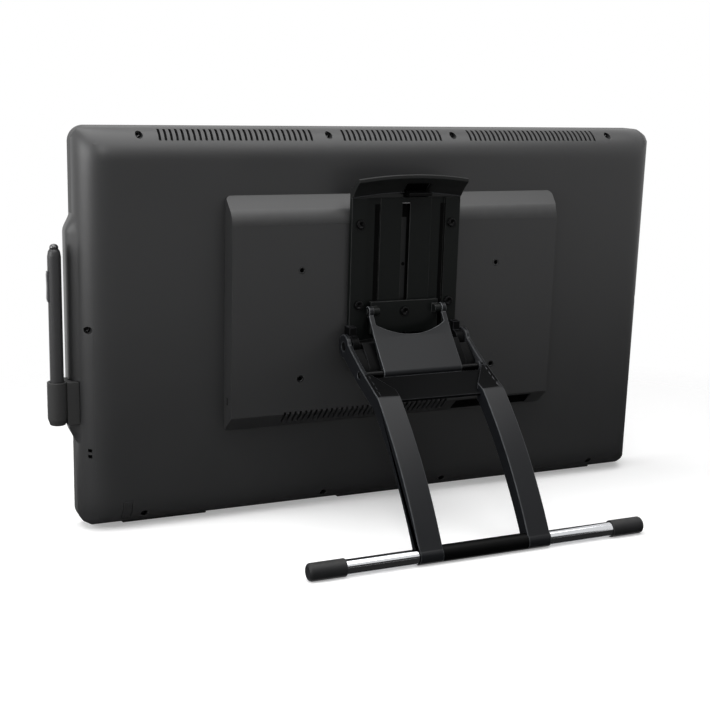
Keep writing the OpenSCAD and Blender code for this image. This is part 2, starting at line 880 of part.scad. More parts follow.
module table_feet() {
    color("#161617") intersection() {
        on_panel() for (x = [-foot_x, 0, foot_x])
            block([x - foot_len / 2, foot_front, -foot_room], [x + foot_len / 2, foot_back, 0]);
        block([-panel_w, -panel_w, 0], [panel_w, panel_w, panel_h]);
    }
}

// Ear that carries the leg hinge pin, on one side of the bracket
module bracket_ear() {
    block([lug_in, face_d, hinge_h - ear_low], [lug_out, hinge_d, bracket_low + ear_high]);
    rod_x(lug_in, lug_out, hinge_d, hinge_h, lug_r);
}

module stand_bracket() {
    color("#161719") on_panel() difference() {
        union() {
            block([-bracket_half, face_d, bracket_low], [bracket_half, plate_d, bracket_high]);
            block([-track_half, plate_d - embed, bracket_low], [track_half, track_d, bracket_high]);
            for (side = [0, 1])
                mirror([side, 0, 0]) {
                    block([bracket_half - flange_w, plate_d - embed, bracket_low],
                        [bracket_half, flange_d, bracket_high]);
                    bracket_ear();
                }
        }
        block([-shoe_half, face_d - over, bracket_low - over], [shoe_half, track_d - lip_t, slot_high]);
        block([-slot_half, face_d - over, bracket_low - over], [slot_half, track_d + over, slot_high]);
        for (x = [-1, 1] * bolt_x, z = [bolt_low, bolt_high])
            rod_y(x, face_d - over, flange_d + over, z, bolt_r + fix_gap);
        rod_x(-leg_half, leg_half, hinge_d, hinge_h, hinge_pin_r + fix_gap);
    }
}

module bracket_screws() {
    color("#0f1011") on_panel() for (x = [-1, 1] * bolt_x, z = [bolt_low, bolt_high])
        difference() {
            union() {
                rod_y(x, flange_d, flange_d + bolt_head_t, z, bolt_head_r);
                rod_y(x, flange_d - bolt_len, flange_d + over, z, bolt_r);
            }
            for (turn = [0, 90])
                translate([x, flange_d + bolt_head_t, z]) rotate([0, turn, 0])
                    cube([bolt_head_r, bolt_head_t, cross_slot], center = true);
        }
}

// Release lever: its pivot, and the window that clears it, in the panel's plane
lever_up = 4.5;
lever_h = bracket_high + lever_up;
lever_d = flange_d + 1;
lever_reach = hood_out - flange_d + face_d - 4;
lever_room = 1;
lever_tip = 3;
lever_swing = 6.5;
lever_pin_half = lever_w / 2 + 4;
hood_root = 1.5;
hood_heel = 5;
hood_base = 9;
window_top = lever_h + lever_t / 2 + lever_swing;

module hood() {
    top = bracket_high + hood_h;
    lip_d = face_d + hood_out;
    color("#141517") on_panel() difference() {
        intersection() {
            along_x(-bracket_half, bracket_half)
                polygon([[face_d, bracket_high], [flange_d + hood_root, bracket_high],
                    [lip_d, top - hood_lip], [lip_d, top], [lip_d - hood_lip, top],
                    [face_d + hood_heel, bracket_high + hood_base], [face_d, bracket_high + hood_base]]);
            rod_y(0, face_d - over, lip_d + over, top - hood_arch, hood_arch);
        }
        block([lever_x - lever_w / 2 - lever_room, lever_d - lever_t / 2 - lever_room, bracket_high - over],
            [lever_x + lever_w / 2 + lever_room, lip_d + over, window_top]);
        rod_x(lever_x - lever_pin_half, lever_x + lever_pin_half, lever_d, lever_h, lever_pin_r + fix_gap);
    }
}

module lever_pin() {
    color("#8d9094") on_panel()
        rod_x(lever_x - lever_pin_half, lever_x + lever_pin_half, lever_d, lever_h, lever_pin_r);
}

module release_lever() {
    color("#0d0e0f") on_panel() difference() {
        union() {
            rod_x(lever_x - lever_w / 2, lever_x + lever_w / 2, lever_d, lever_h, lever_t / 2);
            along_x(lever_x - lever_w / 2, lever_x + lever_w / 2)
                polygon([[lever_d, lever_h - lever_t / 2], [lever_d + lever_reach, lever_h - lever_t / 2],
                    [lever_d + lever_reach, lever_h - lever_t / 2 + lever_tip],
                    [lever_d, lever_h + lever_t / 2]]);
        }
        rod_x(lever_x - lever_w, lever_x + lever_w, lever_d, lever_h, lever_pin_r + run_gap);
    }
}

module leg_hinge_pin() {
    color("#9a9da1") on_panel() rod_x(-leg_half, leg_half, hinge_d, hinge_h, hinge_pin_r);
}

module hinge_washers() {
    color("#2a2b2d") on_panel() for (side = [0, 1])
        mirror([side, 0, 0]) difference() {
            rod_x(lug_out, lug_out + washer_t, hinge_d, hinge_h, washer_r);
            rod_x(lug_out - over, lug_out + washer_t + over, hinge_d, hinge_h, hinge_pin_r + fix_gap);
        }
}

module slider_carriage() {
    color("#1a1b1d") on_panel() difference() {
        union() {
            block([-carriage_half, carriage_front, carriage_low],
                [carriage_half, carriage_back, carriage_top]);
            block([-slot_half + slide_gap, track_d - lip_t - slide_gap, carriage_low],
                [slot_half - slide_gap, carriage_front + embed, carriage_top - carriage_lead]);
            block([-shoe_half + slide_gap, face_d + slide_gap, carriage_low],
                [shoe_half - slide_gap, track_d - lip_t - slide_gap, carriage_top - carriage_lead]);
            for (side = [0, 1])
                mirror([side, 0, 0]) {
                    block([track_half + slide_gap, plate_d + slide_gap, carriage_low],
                        [carriage_half, carriage_front + embed, carriage_top]);
                    rod_x(carriage_half - stub_boss_w, carriage_half, stub_d, stub_h, stub_boss_r);
                    block([carriage_half - stub_boss_w, carriage_back - embed, stub_h - stub_boss_r],
                        [carriage_half, stub_d, stub_h + stub_boss_r]);
                    rod_x(carriage_half - embed, link_half + stub_tail, stub_d, stub_h, stub_r);
                }
        }
        rod_y(0, face_d - over, carriage_back + over, slider_bolt_h, bolt_r + fix_gap);
    }
}

module slider_bolt() {
    color("#0f1011") on_panel() {
        rod_y(0, carriage_back, carriage_back + bolt_head_t, slider_bolt_h, bolt_head_r);
        rod_y(0, face_d + 2 * slide_gap, carriage_back + over, slider_bolt_h, bolt_r);
    }
}

// Moves what is drawn from the link pin, outwards along y and towards the carriage along z, to its place
module on_link() {
    on_panel() translate([0, pin_d, pin_h]) rotate([link_lean, 0, 0]) children();
}

module link_plate() {
    arm_root = link_len - arm_len;
    cut_half = link_half - arm_w;
    cut_r = (pow(cut_half, 2) + pow(arm_cut, 2)) / (2 * arm_cut);
    color("#414449") on_link() difference() {
        union() {
            block([-link_half, link_t / 2 - eye_r, -eye_r], [link_half, link_t / 2, 0]);
            block([-link_half, -link_t / 2, 0], [link_half, link_t / 2, link_len]);
            rod_x(-link_half, link_half, 0, 0, eye_r);
            along_x(-link_half, link_half)
                polygon([[0, 0], [eye_r, 0], [link_t / 2, link_fairing], [0, link_fairing]]);
            for (side = [0, 1])
                mirror([side, 0, 0]) rod_x(cut_half, link_half, 0, link_len, hook_r);
        }
        block([-cut_half, -hook_r - over, arm_root], [cut_half, hook_r + over, link_len + hook_r + over]);
        intersection() {
            rod_y(0, -link_t, link_t, arm_root + cut_r - arm_cut, cut_r);
            block([-cut_half, -link_t, 0], [cut_half, link_t, arm_root + over]);
        }
        rod_x(-link_half - over, link_half + over, 0, 0, link_pin_r + run_gap);
        rod_x(-link_half - over, link_half + over, 0, link_len, stub_r + slide_gap);
        along_x(-link_half - over, link_half + over)
            polygon([[0, link_len - stub_r - slide_gap], [-hook_r - over, link_len - stub_r - hook_mouth],
                [-hook_r - over, link_len + hook_r + hook_mouth], [0, link_len + stub_r + slide_gap]]);
    }
}

// Corner cut out of a leg's wide face above the knee, and filled by the cross plate
module gusset_corner() {
    inner = leg_half - leg_w;
    outer = leg_half - leg_flange;
    start = leg_mid(box_start)[0];
    along_z(0, hinge_h)
        polygon([[inner, hinge_d], [outer, hinge_d], [outer, start], [inner, start + gusset_run]]);
}

// One leg with its flange, hub, link pin hole and foot
module leg() {
    difference() {
        union() {
            along_x(leg_half - leg_flange, leg_half)
                polygon(leg_band(concat(upper_times(0), lower_times), 0, function (t) -leg_edge(t)));
            difference() {
                along_x(leg_half - leg_w, leg_half - leg_flange + embed)
                    polygon(leg_band(concat(upper_times(box_start), lower_times), 0,
                        function (t) -leg_edge(t)));
                gusset_corner();
            }
            rod_x(leg_half - leg_flange, leg_half, hinge_d, hinge_h, leg_hub_r);
            rod_x(leg_half - leg_w, leg_half, bar_d, bar_h, leg_foot_r);
        }
        rod_x(0, leg_half + over, hinge_d, hinge_h, hinge_pin_r + run_gap);
        rod_x(0, leg_half + over, pin_d, pin_h, link_pin_r + fix_gap);
        rod_x(0, leg_half + over, bar_d, bar_h, tube_r + fix_gap);
    }
}

module left_leg() {
    color("#3b3e43") on_panel() leg();
}

module right_leg() {
    color("#3b3e43") on_panel() mirror([1, 0, 0]) leg();
}

// Slice of the cross plate between two x
module cross_slice(from, to) {
    along_x(from, to)
        polygon(leg_band(upper_times(cross_from), -cross_in, function (t) leg_edge(t) - cross_in - cross_t));
}

module cross_plate() {
    inner = leg_half - leg_w;
    color("#24262a") on_panel() {
        cross_slice(-inner, inner);
        for (side = [0, 1])
            mirror([side, 0, 0]) intersection() {
                cross_slice(inner - embed, leg_half - leg_flange);
                union() {
                    gusset_corner();
                    along_z(0, hinge_h) translate([inner - 2 * embed, hinge_d]) square([2 * embed, knee_out]);
                }
            }
    }
}

module link_pin() {
    color("#8d9094") on_panel() rod_x(-leg_half, leg_half, pin_d, pin_h, link_pin_r);
}

module floor_tube() {
    half = bar_half - cap_solid;
    color("#d8dadd") on_panel() rod_x(-half, half, bar_d, bar_h, tube_r);
}

module bar_sleeve() {
    half = leg_half - leg_w;
    color("#1b1c1e") on_panel() difference() {
        rod_x(-half, half, bar_d, bar_h, sleeve_r);
        rod_x(-half - over, half + over, bar_d, bar_h, tube_r + fix_gap);
    }
}

// Rubber cap with a domed end, drawn on the +X side
module end_cap() {
    translate([bar_half - cap_len, bar_d, bar_h]) rotate([0, 90, 0]) difference() {
        union() {
            cylinder(h = cap_len - cap_dome, r = cap_r);
            rotate_extrude() {
                square([cap_r - cap_dome, cap_len]);
                translate([cap_r - cap_dome, cap_len - cap_dome]) circle(cap_dome);
                square([cap_r, cap_len - cap_dome]);
            }
        }
        translate([0, 0, -over]) cylinder(h = cap_len - cap_solid + over, r = tube_r + fix_gap);
    }
}

module end_cap_left() {
    color("#333437") on_panel() end_cap();
}

module end_cap_right() {
    color("#333437") on_panel() mirror([1, 0, 0]) end_cap();
}

module pen_holder() {
    color("#1d1e20") on_panel() difference() {
        union() {
            block([rail_x, rail_front + 1, cup_low], [rail_x + holder_t, holder_back, cup_low + cup_h]);
            difference() {
                block([panel_w / 2 - holder_hug, seam_d + slide_gap, cup_low],
                    [rail_x + holder_t, holder_back, cup_low + cup_h]);
                cover_body(-slide_gap);
            }
            block([rail_x - tongue_len, tongue_d, tongue_h - tongue_half],
                [rail_x + over, tongue_d + tongue_t, tongue_h + tongue_half]);
            translate([pen_x, pen_d, cup_low]) rotate_extrude()
                polygon([[0, 0], [cup_r - cup_taper, 0], [cup_r, cup_taper_h], [cup_r, cup_h], [0, cup_h]]);
        }
        translate([pen_x, pen_d, cup_low + cup_floor])
            cylinder(h = cup_h - cup_floor - cup_lip, r = cup_r - cup_wall);
        translate([pen_x, pen_d, cup_low + cup_floor]) cylinder(h = cup_h, r = lip_r);
    }
}

module pen_barrel() {
    top = pen_len - pen_cap_len;
    color("#202124") on_panel() translate([pen_x, pen_d, pen_low]) difference() {
        rotate_extrude()
            polygon([[0, nib_out], [cone_tip_r, nib_out], [cone_r, cone_h], [pen_r, grip_h],
                [pen_r - pen_thin, top - pen_neck], [pen_r - pen_shoulder_in, top - pen_shoulder],
                [pen_cap_r, top], [0, top]]);
        translate([0, 0, nib_out - over]) cylinder(h = nib_len + over, r = nib_r + run_gap);
        block([pen_r - switch_pocket, -pocket_half, switch_mid - switch_len / 2 - 2 * switch_gap],
            [pen_r + over, pocket_half, switch_mid + switch_len / 2 + 2 * switch_gap]);
    }
}

module pen_end_cap() {
    color("#0c0c0d") on_panel() translate([pen_x, pen_d, pen_low + pen_len - pen_cap_len])
        rotate_extrude() {
            square([pen_cap_r - cap_edge, pen_cap_len]);
            square([pen_cap_r, pen_cap_len - cap_edge]);
            translate([pen_cap_r - cap_edge, pen_cap_len - cap_edge]) circle(cap_edge);
        }
}

module pen_side_switch() {
    half = switch_len / 2;
    color("#2c2d30") on_panel() translate([pen_x, pen_d, switch_h]) rotate([90, 0, 0])
        translate([0, 0, -switch_w / 2]) linear_extrude(switch_w) {
            polygon([[pen_r - switch_in, -half], [pen_r + switch_end, -half],
                [pen_r + switch_out, -half + switch_ramp], [pen_r + switch_waist, 0],
                [pen_r + switch_out, half - switch_ramp], [pen_r + switch_end, half],
                [pen_r - switch_in, half]]);
            translate([pen_r - switch_in, 0]) circle(switch_ridge_r);
        }
}

module pen_nib() {
    color("#3a3a3c") on_panel() translate([pen_x, pen_d, pen_low]) {
        translate([0, 0, nib_r]) cylinder(h = nib_len + nib_out - nib_r - nib_room, r = nib_r);
        translate([0, 0, nib_r]) sphere(nib_r);
    }
}

// Key with a flange behind the bezel's front
module function_key(i) {
    x = key_xs[i - 1];
    wide = key_w / 2 + key_flange;
    high = key_h / 2 + key_flange;
    color("#26272a") on_panel() {
        block([x - key_w / 2, -key_out, key_h_mid - key_h / 2],
            [x + key_w / 2, flange_front + embed, key_h_mid + key_h / 2]);
        block([x - wide, flange_front, key_h_mid - high],
            [x + wide, flange_front + key_flange_t, key_h_mid + high]);
    }
}

module power_button() {
    color("#26272a") on_panel() {
        rod_y(-power_x, -key_out, flange_front + embed, key_h_mid, power_r);
        rod_y(-power_x, flange_front, flange_front + key_flange_t, key_h_mid, power_r + key_flange);
    }
}

front_bezel();
cover_glass();
lcd_panel();
backlight_tray();
digitizer_sheet();
shield_plate();
chassis_frame();
chassis_screws();
main_board();
power_board();
key_board();
video_socket();
usb_socket();
power_socket();
rear_cover();
rear_plug();
cover_screws();
mount_inserts();
table_feet();
stand_bracket();
bracket_screws();
hood();
lever_pin();
release_lever();
leg_hinge_pin();
hinge_washers();
slider_carriage();
slider_bolt();
link_plate();
left_leg();
right_leg();
cross_plate();
link_pin();
floor_tube();
bar_sleeve();
end_cap_left();
end_cap_right();
pen_holder();
pen_barrel();
pen_end_cap();
pen_side_switch();
pen_nib();
function_key(1);  // function_key_1
function_key(2);  // function_key_2
function_key(3);  // function_key_3
function_key(4);  // function_key_4
power_button();
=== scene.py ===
"""Looks of a pen display on its rear stand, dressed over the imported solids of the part."""

from __future__ import annotations

import logging
import math
from dataclasses import dataclass, field
from enum import Enum

import bmesh
import bpy
import numpy as np
from mathutils import Matrix, Vector


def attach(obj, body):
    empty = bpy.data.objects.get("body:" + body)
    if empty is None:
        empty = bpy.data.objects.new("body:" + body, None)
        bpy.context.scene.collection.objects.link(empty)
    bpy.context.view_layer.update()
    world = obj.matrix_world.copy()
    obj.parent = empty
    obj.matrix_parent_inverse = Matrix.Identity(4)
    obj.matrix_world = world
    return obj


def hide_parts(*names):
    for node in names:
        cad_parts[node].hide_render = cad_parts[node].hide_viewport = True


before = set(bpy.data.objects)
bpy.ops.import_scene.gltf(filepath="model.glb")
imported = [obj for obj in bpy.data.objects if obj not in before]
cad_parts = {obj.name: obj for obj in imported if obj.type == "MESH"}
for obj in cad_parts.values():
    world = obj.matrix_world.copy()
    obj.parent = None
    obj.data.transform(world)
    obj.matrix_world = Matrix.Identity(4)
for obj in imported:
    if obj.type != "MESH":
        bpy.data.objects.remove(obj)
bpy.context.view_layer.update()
LOG = logging.getLogger("pen_display")
Colour = tuple[float, float, float]
Point = tuple[float, float, float]


class Body(str, Enum):
    """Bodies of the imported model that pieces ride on."""

    DISPLAY = "display"
    LEGS = "legs"
    CARRIAGE = "carriage"
    LINK = "link"
    LEVER = "lever"
    PEN = "pen"
    PEN_SWITCH = "pen_switch"
    NIB = "nib"
    POWER_KEY = "power_key"
    KEY_1 = "key_1"
    KEY_2 = "key_2"
    KEY_3 = "key_3"
    KEY_4 = "key_4"


class Grain(Enum):
    """Kinds of surface grain that a finish can have."""

    MOULDED = "moulded"
    BRUSHED = "brushed"


@dataclass(frozen=True)
class PanelFrame:
    """Leaning frame of the screen unit, in millimetres across, back from the front and up.

    Attributes:
        tilt: Lean of the unit, in degrees.
        foot_mid: Depth of the feet's middle, which stands over the origin.
        lift: Height of the lower edge over the table.
    """

    tilt: float = 4.0
    foot_mid: float = 11.0
    lift: float = 3.2

    @property
    def matrix(self) -> Matrix:
        """Matrix from upright millimetres to the part's metres."""
        lean = math.radians(self.tilt)
        shift = Matrix.Translation((0.0, -self.foot_mid * math.cos(lean), self.lift))
        return Matrix.Scale(0.001, 4) @ shift @ Matrix.Rotation(-lean, 4, "X")

    def place(self, across: float, back: float, up: float) -> Vector:
        """Turn an upright place in millimetres into the part's metres."""
        return self.matrix @ Vector((across, back, up))


PANEL = PanelFrame()


class ShaderGroups:
    """Shader effects that several finishes share, each built once as a node group."""

    KINDS = {"Colour": "NodeSocketColor", "Worn": "NodeSocketColor", "Dust": "NodeSocketColor",
             "Stretch": "NodeSocketVector"}
    DRIFT_SCALE = 22.0
    WEAR_SCALE = 90.0
    DUST_SCALE = 260.0
    DUST_SLOPE = 0.55
    CELL_SHARE = 0.6

    def __init__(self) -> None:
        """Build every group."""
        self.moulded = self._moulded()
        self.brushed = self._brushed()
        self.wear = self._wear()
        self.dust = self._dust()

    @classmethod
    def _start(cls, name: str, inputs: tuple[str, ...], outputs: tuple[str, ...]) -> tuple:
        """Make an empty group with its sockets.

        Args:
            name: Name of the group.
            inputs: Names of the inputs.
            outputs: Names of the outputs.

        Returns:
            The group, its input node and its output node.
        """
        group = bpy.data.node_groups.new(name, "ShaderNodeTree")
        for side, keys in (("INPUT", inputs), ("OUTPUT", outputs)):
            for key in keys:
                group.interface.new_socket(key, in_out=side, socket_type=cls.KINDS.get(key, "NodeSocketFloat"))
        return group, group.nodes.new("NodeGroupInput"), group.nodes.new("NodeGroupOutput")

    @staticmethod
    def _noise(group: bpy.types.NodeTree, scale: float, detail: float) -> bpy.types.Node:
        """Add a noise texture on object coordinates.

        Args:
            group: Tree that takes the nodes.
            scale: Scale of the noise, per metre.
            detail: Octaves of the noise.

        Returns:
            The noise node.
        """
        place = group.nodes.new("ShaderNodeTexCoord")
        noise = group.nodes.new("ShaderNodeTexNoise")
        noise.inputs["Scale"].default_value = scale
        noise.inputs["Detail"].default_value = detail
        group.links.new(place.outputs["Object"], noise.inputs["Vector"])
        return noise

    @staticmethod
    def _math(group: bpy.types.NodeTree, kind: str, first: object, second: object) -> bpy.types.NodeSocket:
        """Add a math node.

        Args:
            group: Tree that takes the node.
            kind: Operation of the node.
            first: First socket or number.
            second: Second socket or number.

        Returns:
            The node's output socket.
        """
        node = group.nodes.new("ShaderNodeMath")
        node.operation = kind
        for socket, value in zip(node.inputs, (first, second)):
            if isinstance(value, (int, float)):
                socket.default_value = value
            else:
                group.links.new(value, socket)
        return node.outputs[0]

    def _drift(self, group: bpy.types.NodeTree, source: bpy.types.Node, noise: bpy.types.Node,
               sink: bpy.types.Node) -> None:
        """Let a noise drift the colour and the roughness of a group.

        Args:
            group: Tree that takes the nodes.
            source: Input node with Colour, Drift, Roughness and Spread.
            noise: Noise that drives the drift.
            sink: Output node with Colour and Roughness.
        """
        centred = self._math(group, "SUBTRACT", noise.outputs["Fac"], 0.5)
        gain = self._math(group, "MULTIPLY_ADD", centred, source.outputs["Drift"])
        gain.node.inputs[2].default_value = 1.0
        tint = group.nodes.new("ShaderNodeVectorMath")
        tint.operation = "SCALE"
        group.links.new(source.outputs["Colour"], tint.inputs[0])
        group.links.new(gain, tint.inputs["Scale"])
        group.links.new(tint.outputs[0], sink.inputs["Colour"])
        rough = self._math(group, "MULTIPLY_ADD", centred, source.outputs["Spread"])
        group.links.new(source.outputs["Roughness"], rough.node.inputs[2])
        group.links.new(rough, sink.inputs["Roughness"])

    def _moulded(self) -> bpy.types.NodeTree:
        """Fine even grain of moulded plastic, rubber and baked paint."""
        group, source, sink = self._start("moulded_grain", ("Colour", "Scale", "Drift", "Roughness", "Spread"),
                                          ("Colour", "Roughness", "Height"))
        fine = self._noise(group, 1000.0, 2.0)
        group.links.new(source.outputs["Scale"], fine.inputs["Scale"])
        cells = group.nodes.new("ShaderNodeTexVoronoi")
        group.links.new(source.outputs["Scale"], cells.inputs["Scale"])
        group.links.new(fine.inputs["Vector"].links[0].from_socket, cells.inputs["Vector"])
        height = self._math(group, "MULTIPLY_ADD", cells.outputs["Distance"], self.CELL_SHARE)
        group.links.new(fine.outputs["Fac"], height.node.inputs[2])
        group.links.new(height, sink.inputs["Height"])
        self._drift(group, source, self._noise(group, self.DRIFT_SCALE, 4.0), sink)
        return group

    def _brushed(self) -> bpy.types.NodeTree:
        """Drawn streaks of turned and plated metal."""
        group, source, sink = self._start("brushed_streaks", ("Colour", "Stretch", "Drift", "Roughness", "Spread"),
                                          ("Colour", "Roughness", "Height"))
        streaks = self._noise(group, 1.0, 3.0)
        mapping = group.nodes.new("ShaderNodeMapping")
        group.links.new(streaks.inputs["Vector"].links[0].from_socket, mapping.inputs["Vector"])
        group.links.new(source.outputs["Stretch"], mapping.inputs["Scale"])
        group.links.new(mapping.outputs["Vector"], streaks.inputs["Vector"])
        group.links.new(streaks.outputs["Fac"], sink.inputs["Height"])
        self._drift(group, source, streaks, sink)
        return group

    def _patched(self, name: str, other: str, scale: float, detail: float) -> tuple:
        """Start a group that mixes its colour with another in patches.

        Args:
            name: Name of the group.
            other: Name of the other colour's input.
            scale: Scale of the patches, per metre.
            detail: Octaves of the patches.

        Returns:
            The group, and the open socket for where the other colour can be.
        """
        group, source, sink = self._start(name, ("Colour", other, "Amount"), ("Colour", "Mask"))
        patch = self._math(group, "MULTIPLY", 0.0, self._noise(group, scale, detail).outputs["Fac"])
        mask = self._math(group, "MULTIPLY", patch, source.outputs["Amount"])
        mix = group.nodes.new("ShaderNodeMix")
        mix.data_type = "RGBA"
        group.links.new(mask, mix.inputs["Factor"])
        group.links.new(source.outputs["Colour"], mix.inputs["A"])
        group.links.new(source.outputs[other], mix.inputs["B"])
        group.links.new(mix.outputs["Result"], sink.inputs["Colour"])
        group.links.new(mask, sink.inputs["Mask"])
        return group, patch.node.inputs[0]

    def _wear(self) -> bpy.types.NodeTree:
        """Rubbed edges, where the mesh marks its rounded edges."""
        group, where = self._patched("edge_wear", "Worn", self.WEAR_SCALE, 3.0)
        edge = group.nodes.new("ShaderNodeAttribute")
        edge.attribute_name = "edge"
        group.links.new(edge.outputs["Fac"], where)
        return group

    def _dust(self) -> bpy.types.NodeTree:
        """Thin dust on faces that look up."""
        group, where = self._patched("settled_dust", "Dust", self.DUST_SCALE, 5.0)
        surface = group.nodes.new("ShaderNodeNewGeometry")
        split = group.nodes.new("ShaderNodeSeparateXYZ")
        group.links.new(surface.outputs["Normal"], split.inputs[0])
        up = group.nodes.new("ShaderNodeMapRange")
        up.inputs["From Min"].default_value = self.DUST_SLOPE
        group.links.new(split.outputs["Z"], up.inputs["Value"])
        group.links.new(up.outputs["Result"], where)
        return group


GROUPS = ShaderGroups()
BLACK: Colour = (0.0, 0.0, 0.0)
WHITE: Colour = (1.0, 1.0, 1.0)
DUST: Colour = (0.42, 0.41, 0.39)
COAT_ROUGH = 0.12


def blank_material(name: str) -> tuple[bpy.types.Material, bpy.types.NodeTree, bpy.types.Node]:
    """Make a material with a plain shader.

    Args:
        name: Name of the material.

    Returns:
        The material, its node tree and its shader node.
    """
    material = bpy.data.materials.new(name)
    material.use_nodes = True
    return material, material.node_tree, material.node_tree.nodes["Principled BSDF"]


def set_inputs(node: bpy.types.Node, values: dict[str, object]) -> None:
    """Set the named inputs of a node."""
    for key, value in values.items():
        node.inputs[key].default_value = value


def place_group(tree: bpy.types.NodeTree, group: bpy.types.NodeTree, values: dict[str, object]) -> bpy.types.Node:
    """Place a node group in a material.

    Args:
        tree: Tree of the material.
        group: Group to place.
        values: Values of the group's inputs, by name.

    Returns:
        The group node.
    """
    node = tree.nodes.new("ShaderNodeGroup")
    node.node_tree = group
    set_inputs(node, values)
    return node


def add_relief(tree: bpy.types.NodeTree, grain: bpy.types.Node, shader: bpy.types.Node, strength: float,
               depth: float) -> None:
    """Let a grain drive the roughness and the bump of a shader.

    Args:
        tree: Tree of the material.
        grain: Group node with Roughness and Height.
        shader: Shader node.
        strength: Strength of the bump.
        depth: Depth of the bump, in metres.
    """
    bump = tree.nodes.new("ShaderNodeBump")
    set_inputs(bump, {"Strength": strength, "Distance": depth})
    tree.links.new(grain.outputs["Roughness"], shader.inputs["Roughness"])
    tree.links.new(grain.outputs["Height"], bump.inputs["Height"])
    tree.links.new(bump.outputs["Normal"], shader.inputs["Normal"])


@dataclass(frozen=True)
class Finish:
    """Look of one opaque surface.

    Attributes:
        name: Name of the material.
        slot: Material slot; not used.
        colour: Base colour, linear.
        rough: Mean roughness.
        metal: Metallic share.
        specular: Specular level of the shader.
        grain: Kind of surface grain.
        scale: Scale of the moulded grain, per metre.
        stretch: Scale of the brushed streaks along each axis, per metre.
        depth: Depth of the grain, in metres.
        relief: Strength of the grain's bump.
        drift: Slow drift of the colour.
        spread: Slow drift of the roughness.
        worn: Colour of rubbed edges.
        wear: Amount of wear.
        dust: Amount of dust.
        coat: Weight of a clear coat.
    """

    name: str
    slot: str
    colour: Colour
    rough: float
    metal: float = 0.0
    specular: float = 0.5
    grain: Grain = Grain.MOULDED
    scale: float = 1500.0
    stretch: Point = (3.0, 900.0, 900.0)
    depth: float = 0.00003
    relief: float = 0.6
    drift: float = 0.12
    spread: float = 0.08
    worn: Colour = (0.2, 0.2, 0.2)
    wear: float = 0.1
    dust: float = 0.03
    coat: float = 0.0

    def build(self) -> bpy.types.Material:
        """Make the material of this finish."""
        material, tree, shader = blank_material(self.name)
        set_inputs(shader, {"Metallic": self.metal, "Specular IOR Level": self.specular, "Coat Weight": self.coat,
                            "Coat Roughness": COAT_ROUGH})
        grain = place_group(tree, GROUPS.moulded if self.grain is Grain.MOULDED else GROUPS.brushed,
                            {"Colour": (*self.colour, 1.0), "Drift": self.drift, "Roughness": self.rough,
                             "Spread": self.spread})
        if self.grain is Grain.MOULDED:
            grain.inputs["Scale"].default_value = self.scale
        else:
            grain.inputs["Stretch"].default_value = self.stretch
        wear = place_group(tree, GROUPS.wear, {"Worn": (*self.worn, 1.0), "Amount": self.wear})
        dust = place_group(tree, GROUPS.dust, {"Dust": (*DUST, 1.0), "Amount": self.dust})
        tree.links.new(grain.outputs["Colour"], wear.inputs["Colour"])
        tree.links.new(wear.outputs["Colour"], dust.inputs["Colour"])
        tree.links.new(dust.outputs["Colour"], shader.inputs["Base Color"])
        add_relief(tree, grain, shader, self.relief, self.depth)
        return material


@dataclass(frozen=True)
class ClearFinish:
    """Look of the etched cover glass.

    Attributes:
        name: Name of the material.
        slot: Material slot; not used.
        colour: Tint of the glass.
        rough: Roughness of its etched face.
        spread: Slow drift of the roughness.
        drift: Slow drift of the tint.
        scale: Scale of the etched grain, per metre.
        depth: Depth of the etched grain, in metres.
        relief: Strength of the grain's bump.
        index: Refractive index.
    """

    name: str
    slot: str
    colour: Colour
    rough: float
    spread: float = 0.04
    drift: float = 0.02
    scale: float = 4200.0
    depth: float = 0.000004
    relief: float = 0.15
    index: float = 1.5

    def build(self) -> bpy.types.Material:
        """Make the material of this glass."""
        material, tree, shader = blank_material(self.name)
        set_inputs(shader, {"Transmission Weight": 1.0, "IOR": self.index})
        grain = place_group(tree, GROUPS.moulded,
                            {"Colour": (*self.colour, 1.0), "Scale": self.scale, "Drift": self.drift,
                             "Roughness": self.rough, "Spread": self.spread})
        tree.links.new(grain.outputs["Colour"], shader.inputs["Base Color"])
        add_relief(tree, grain, shader, self.relief, self.depth)
        return material


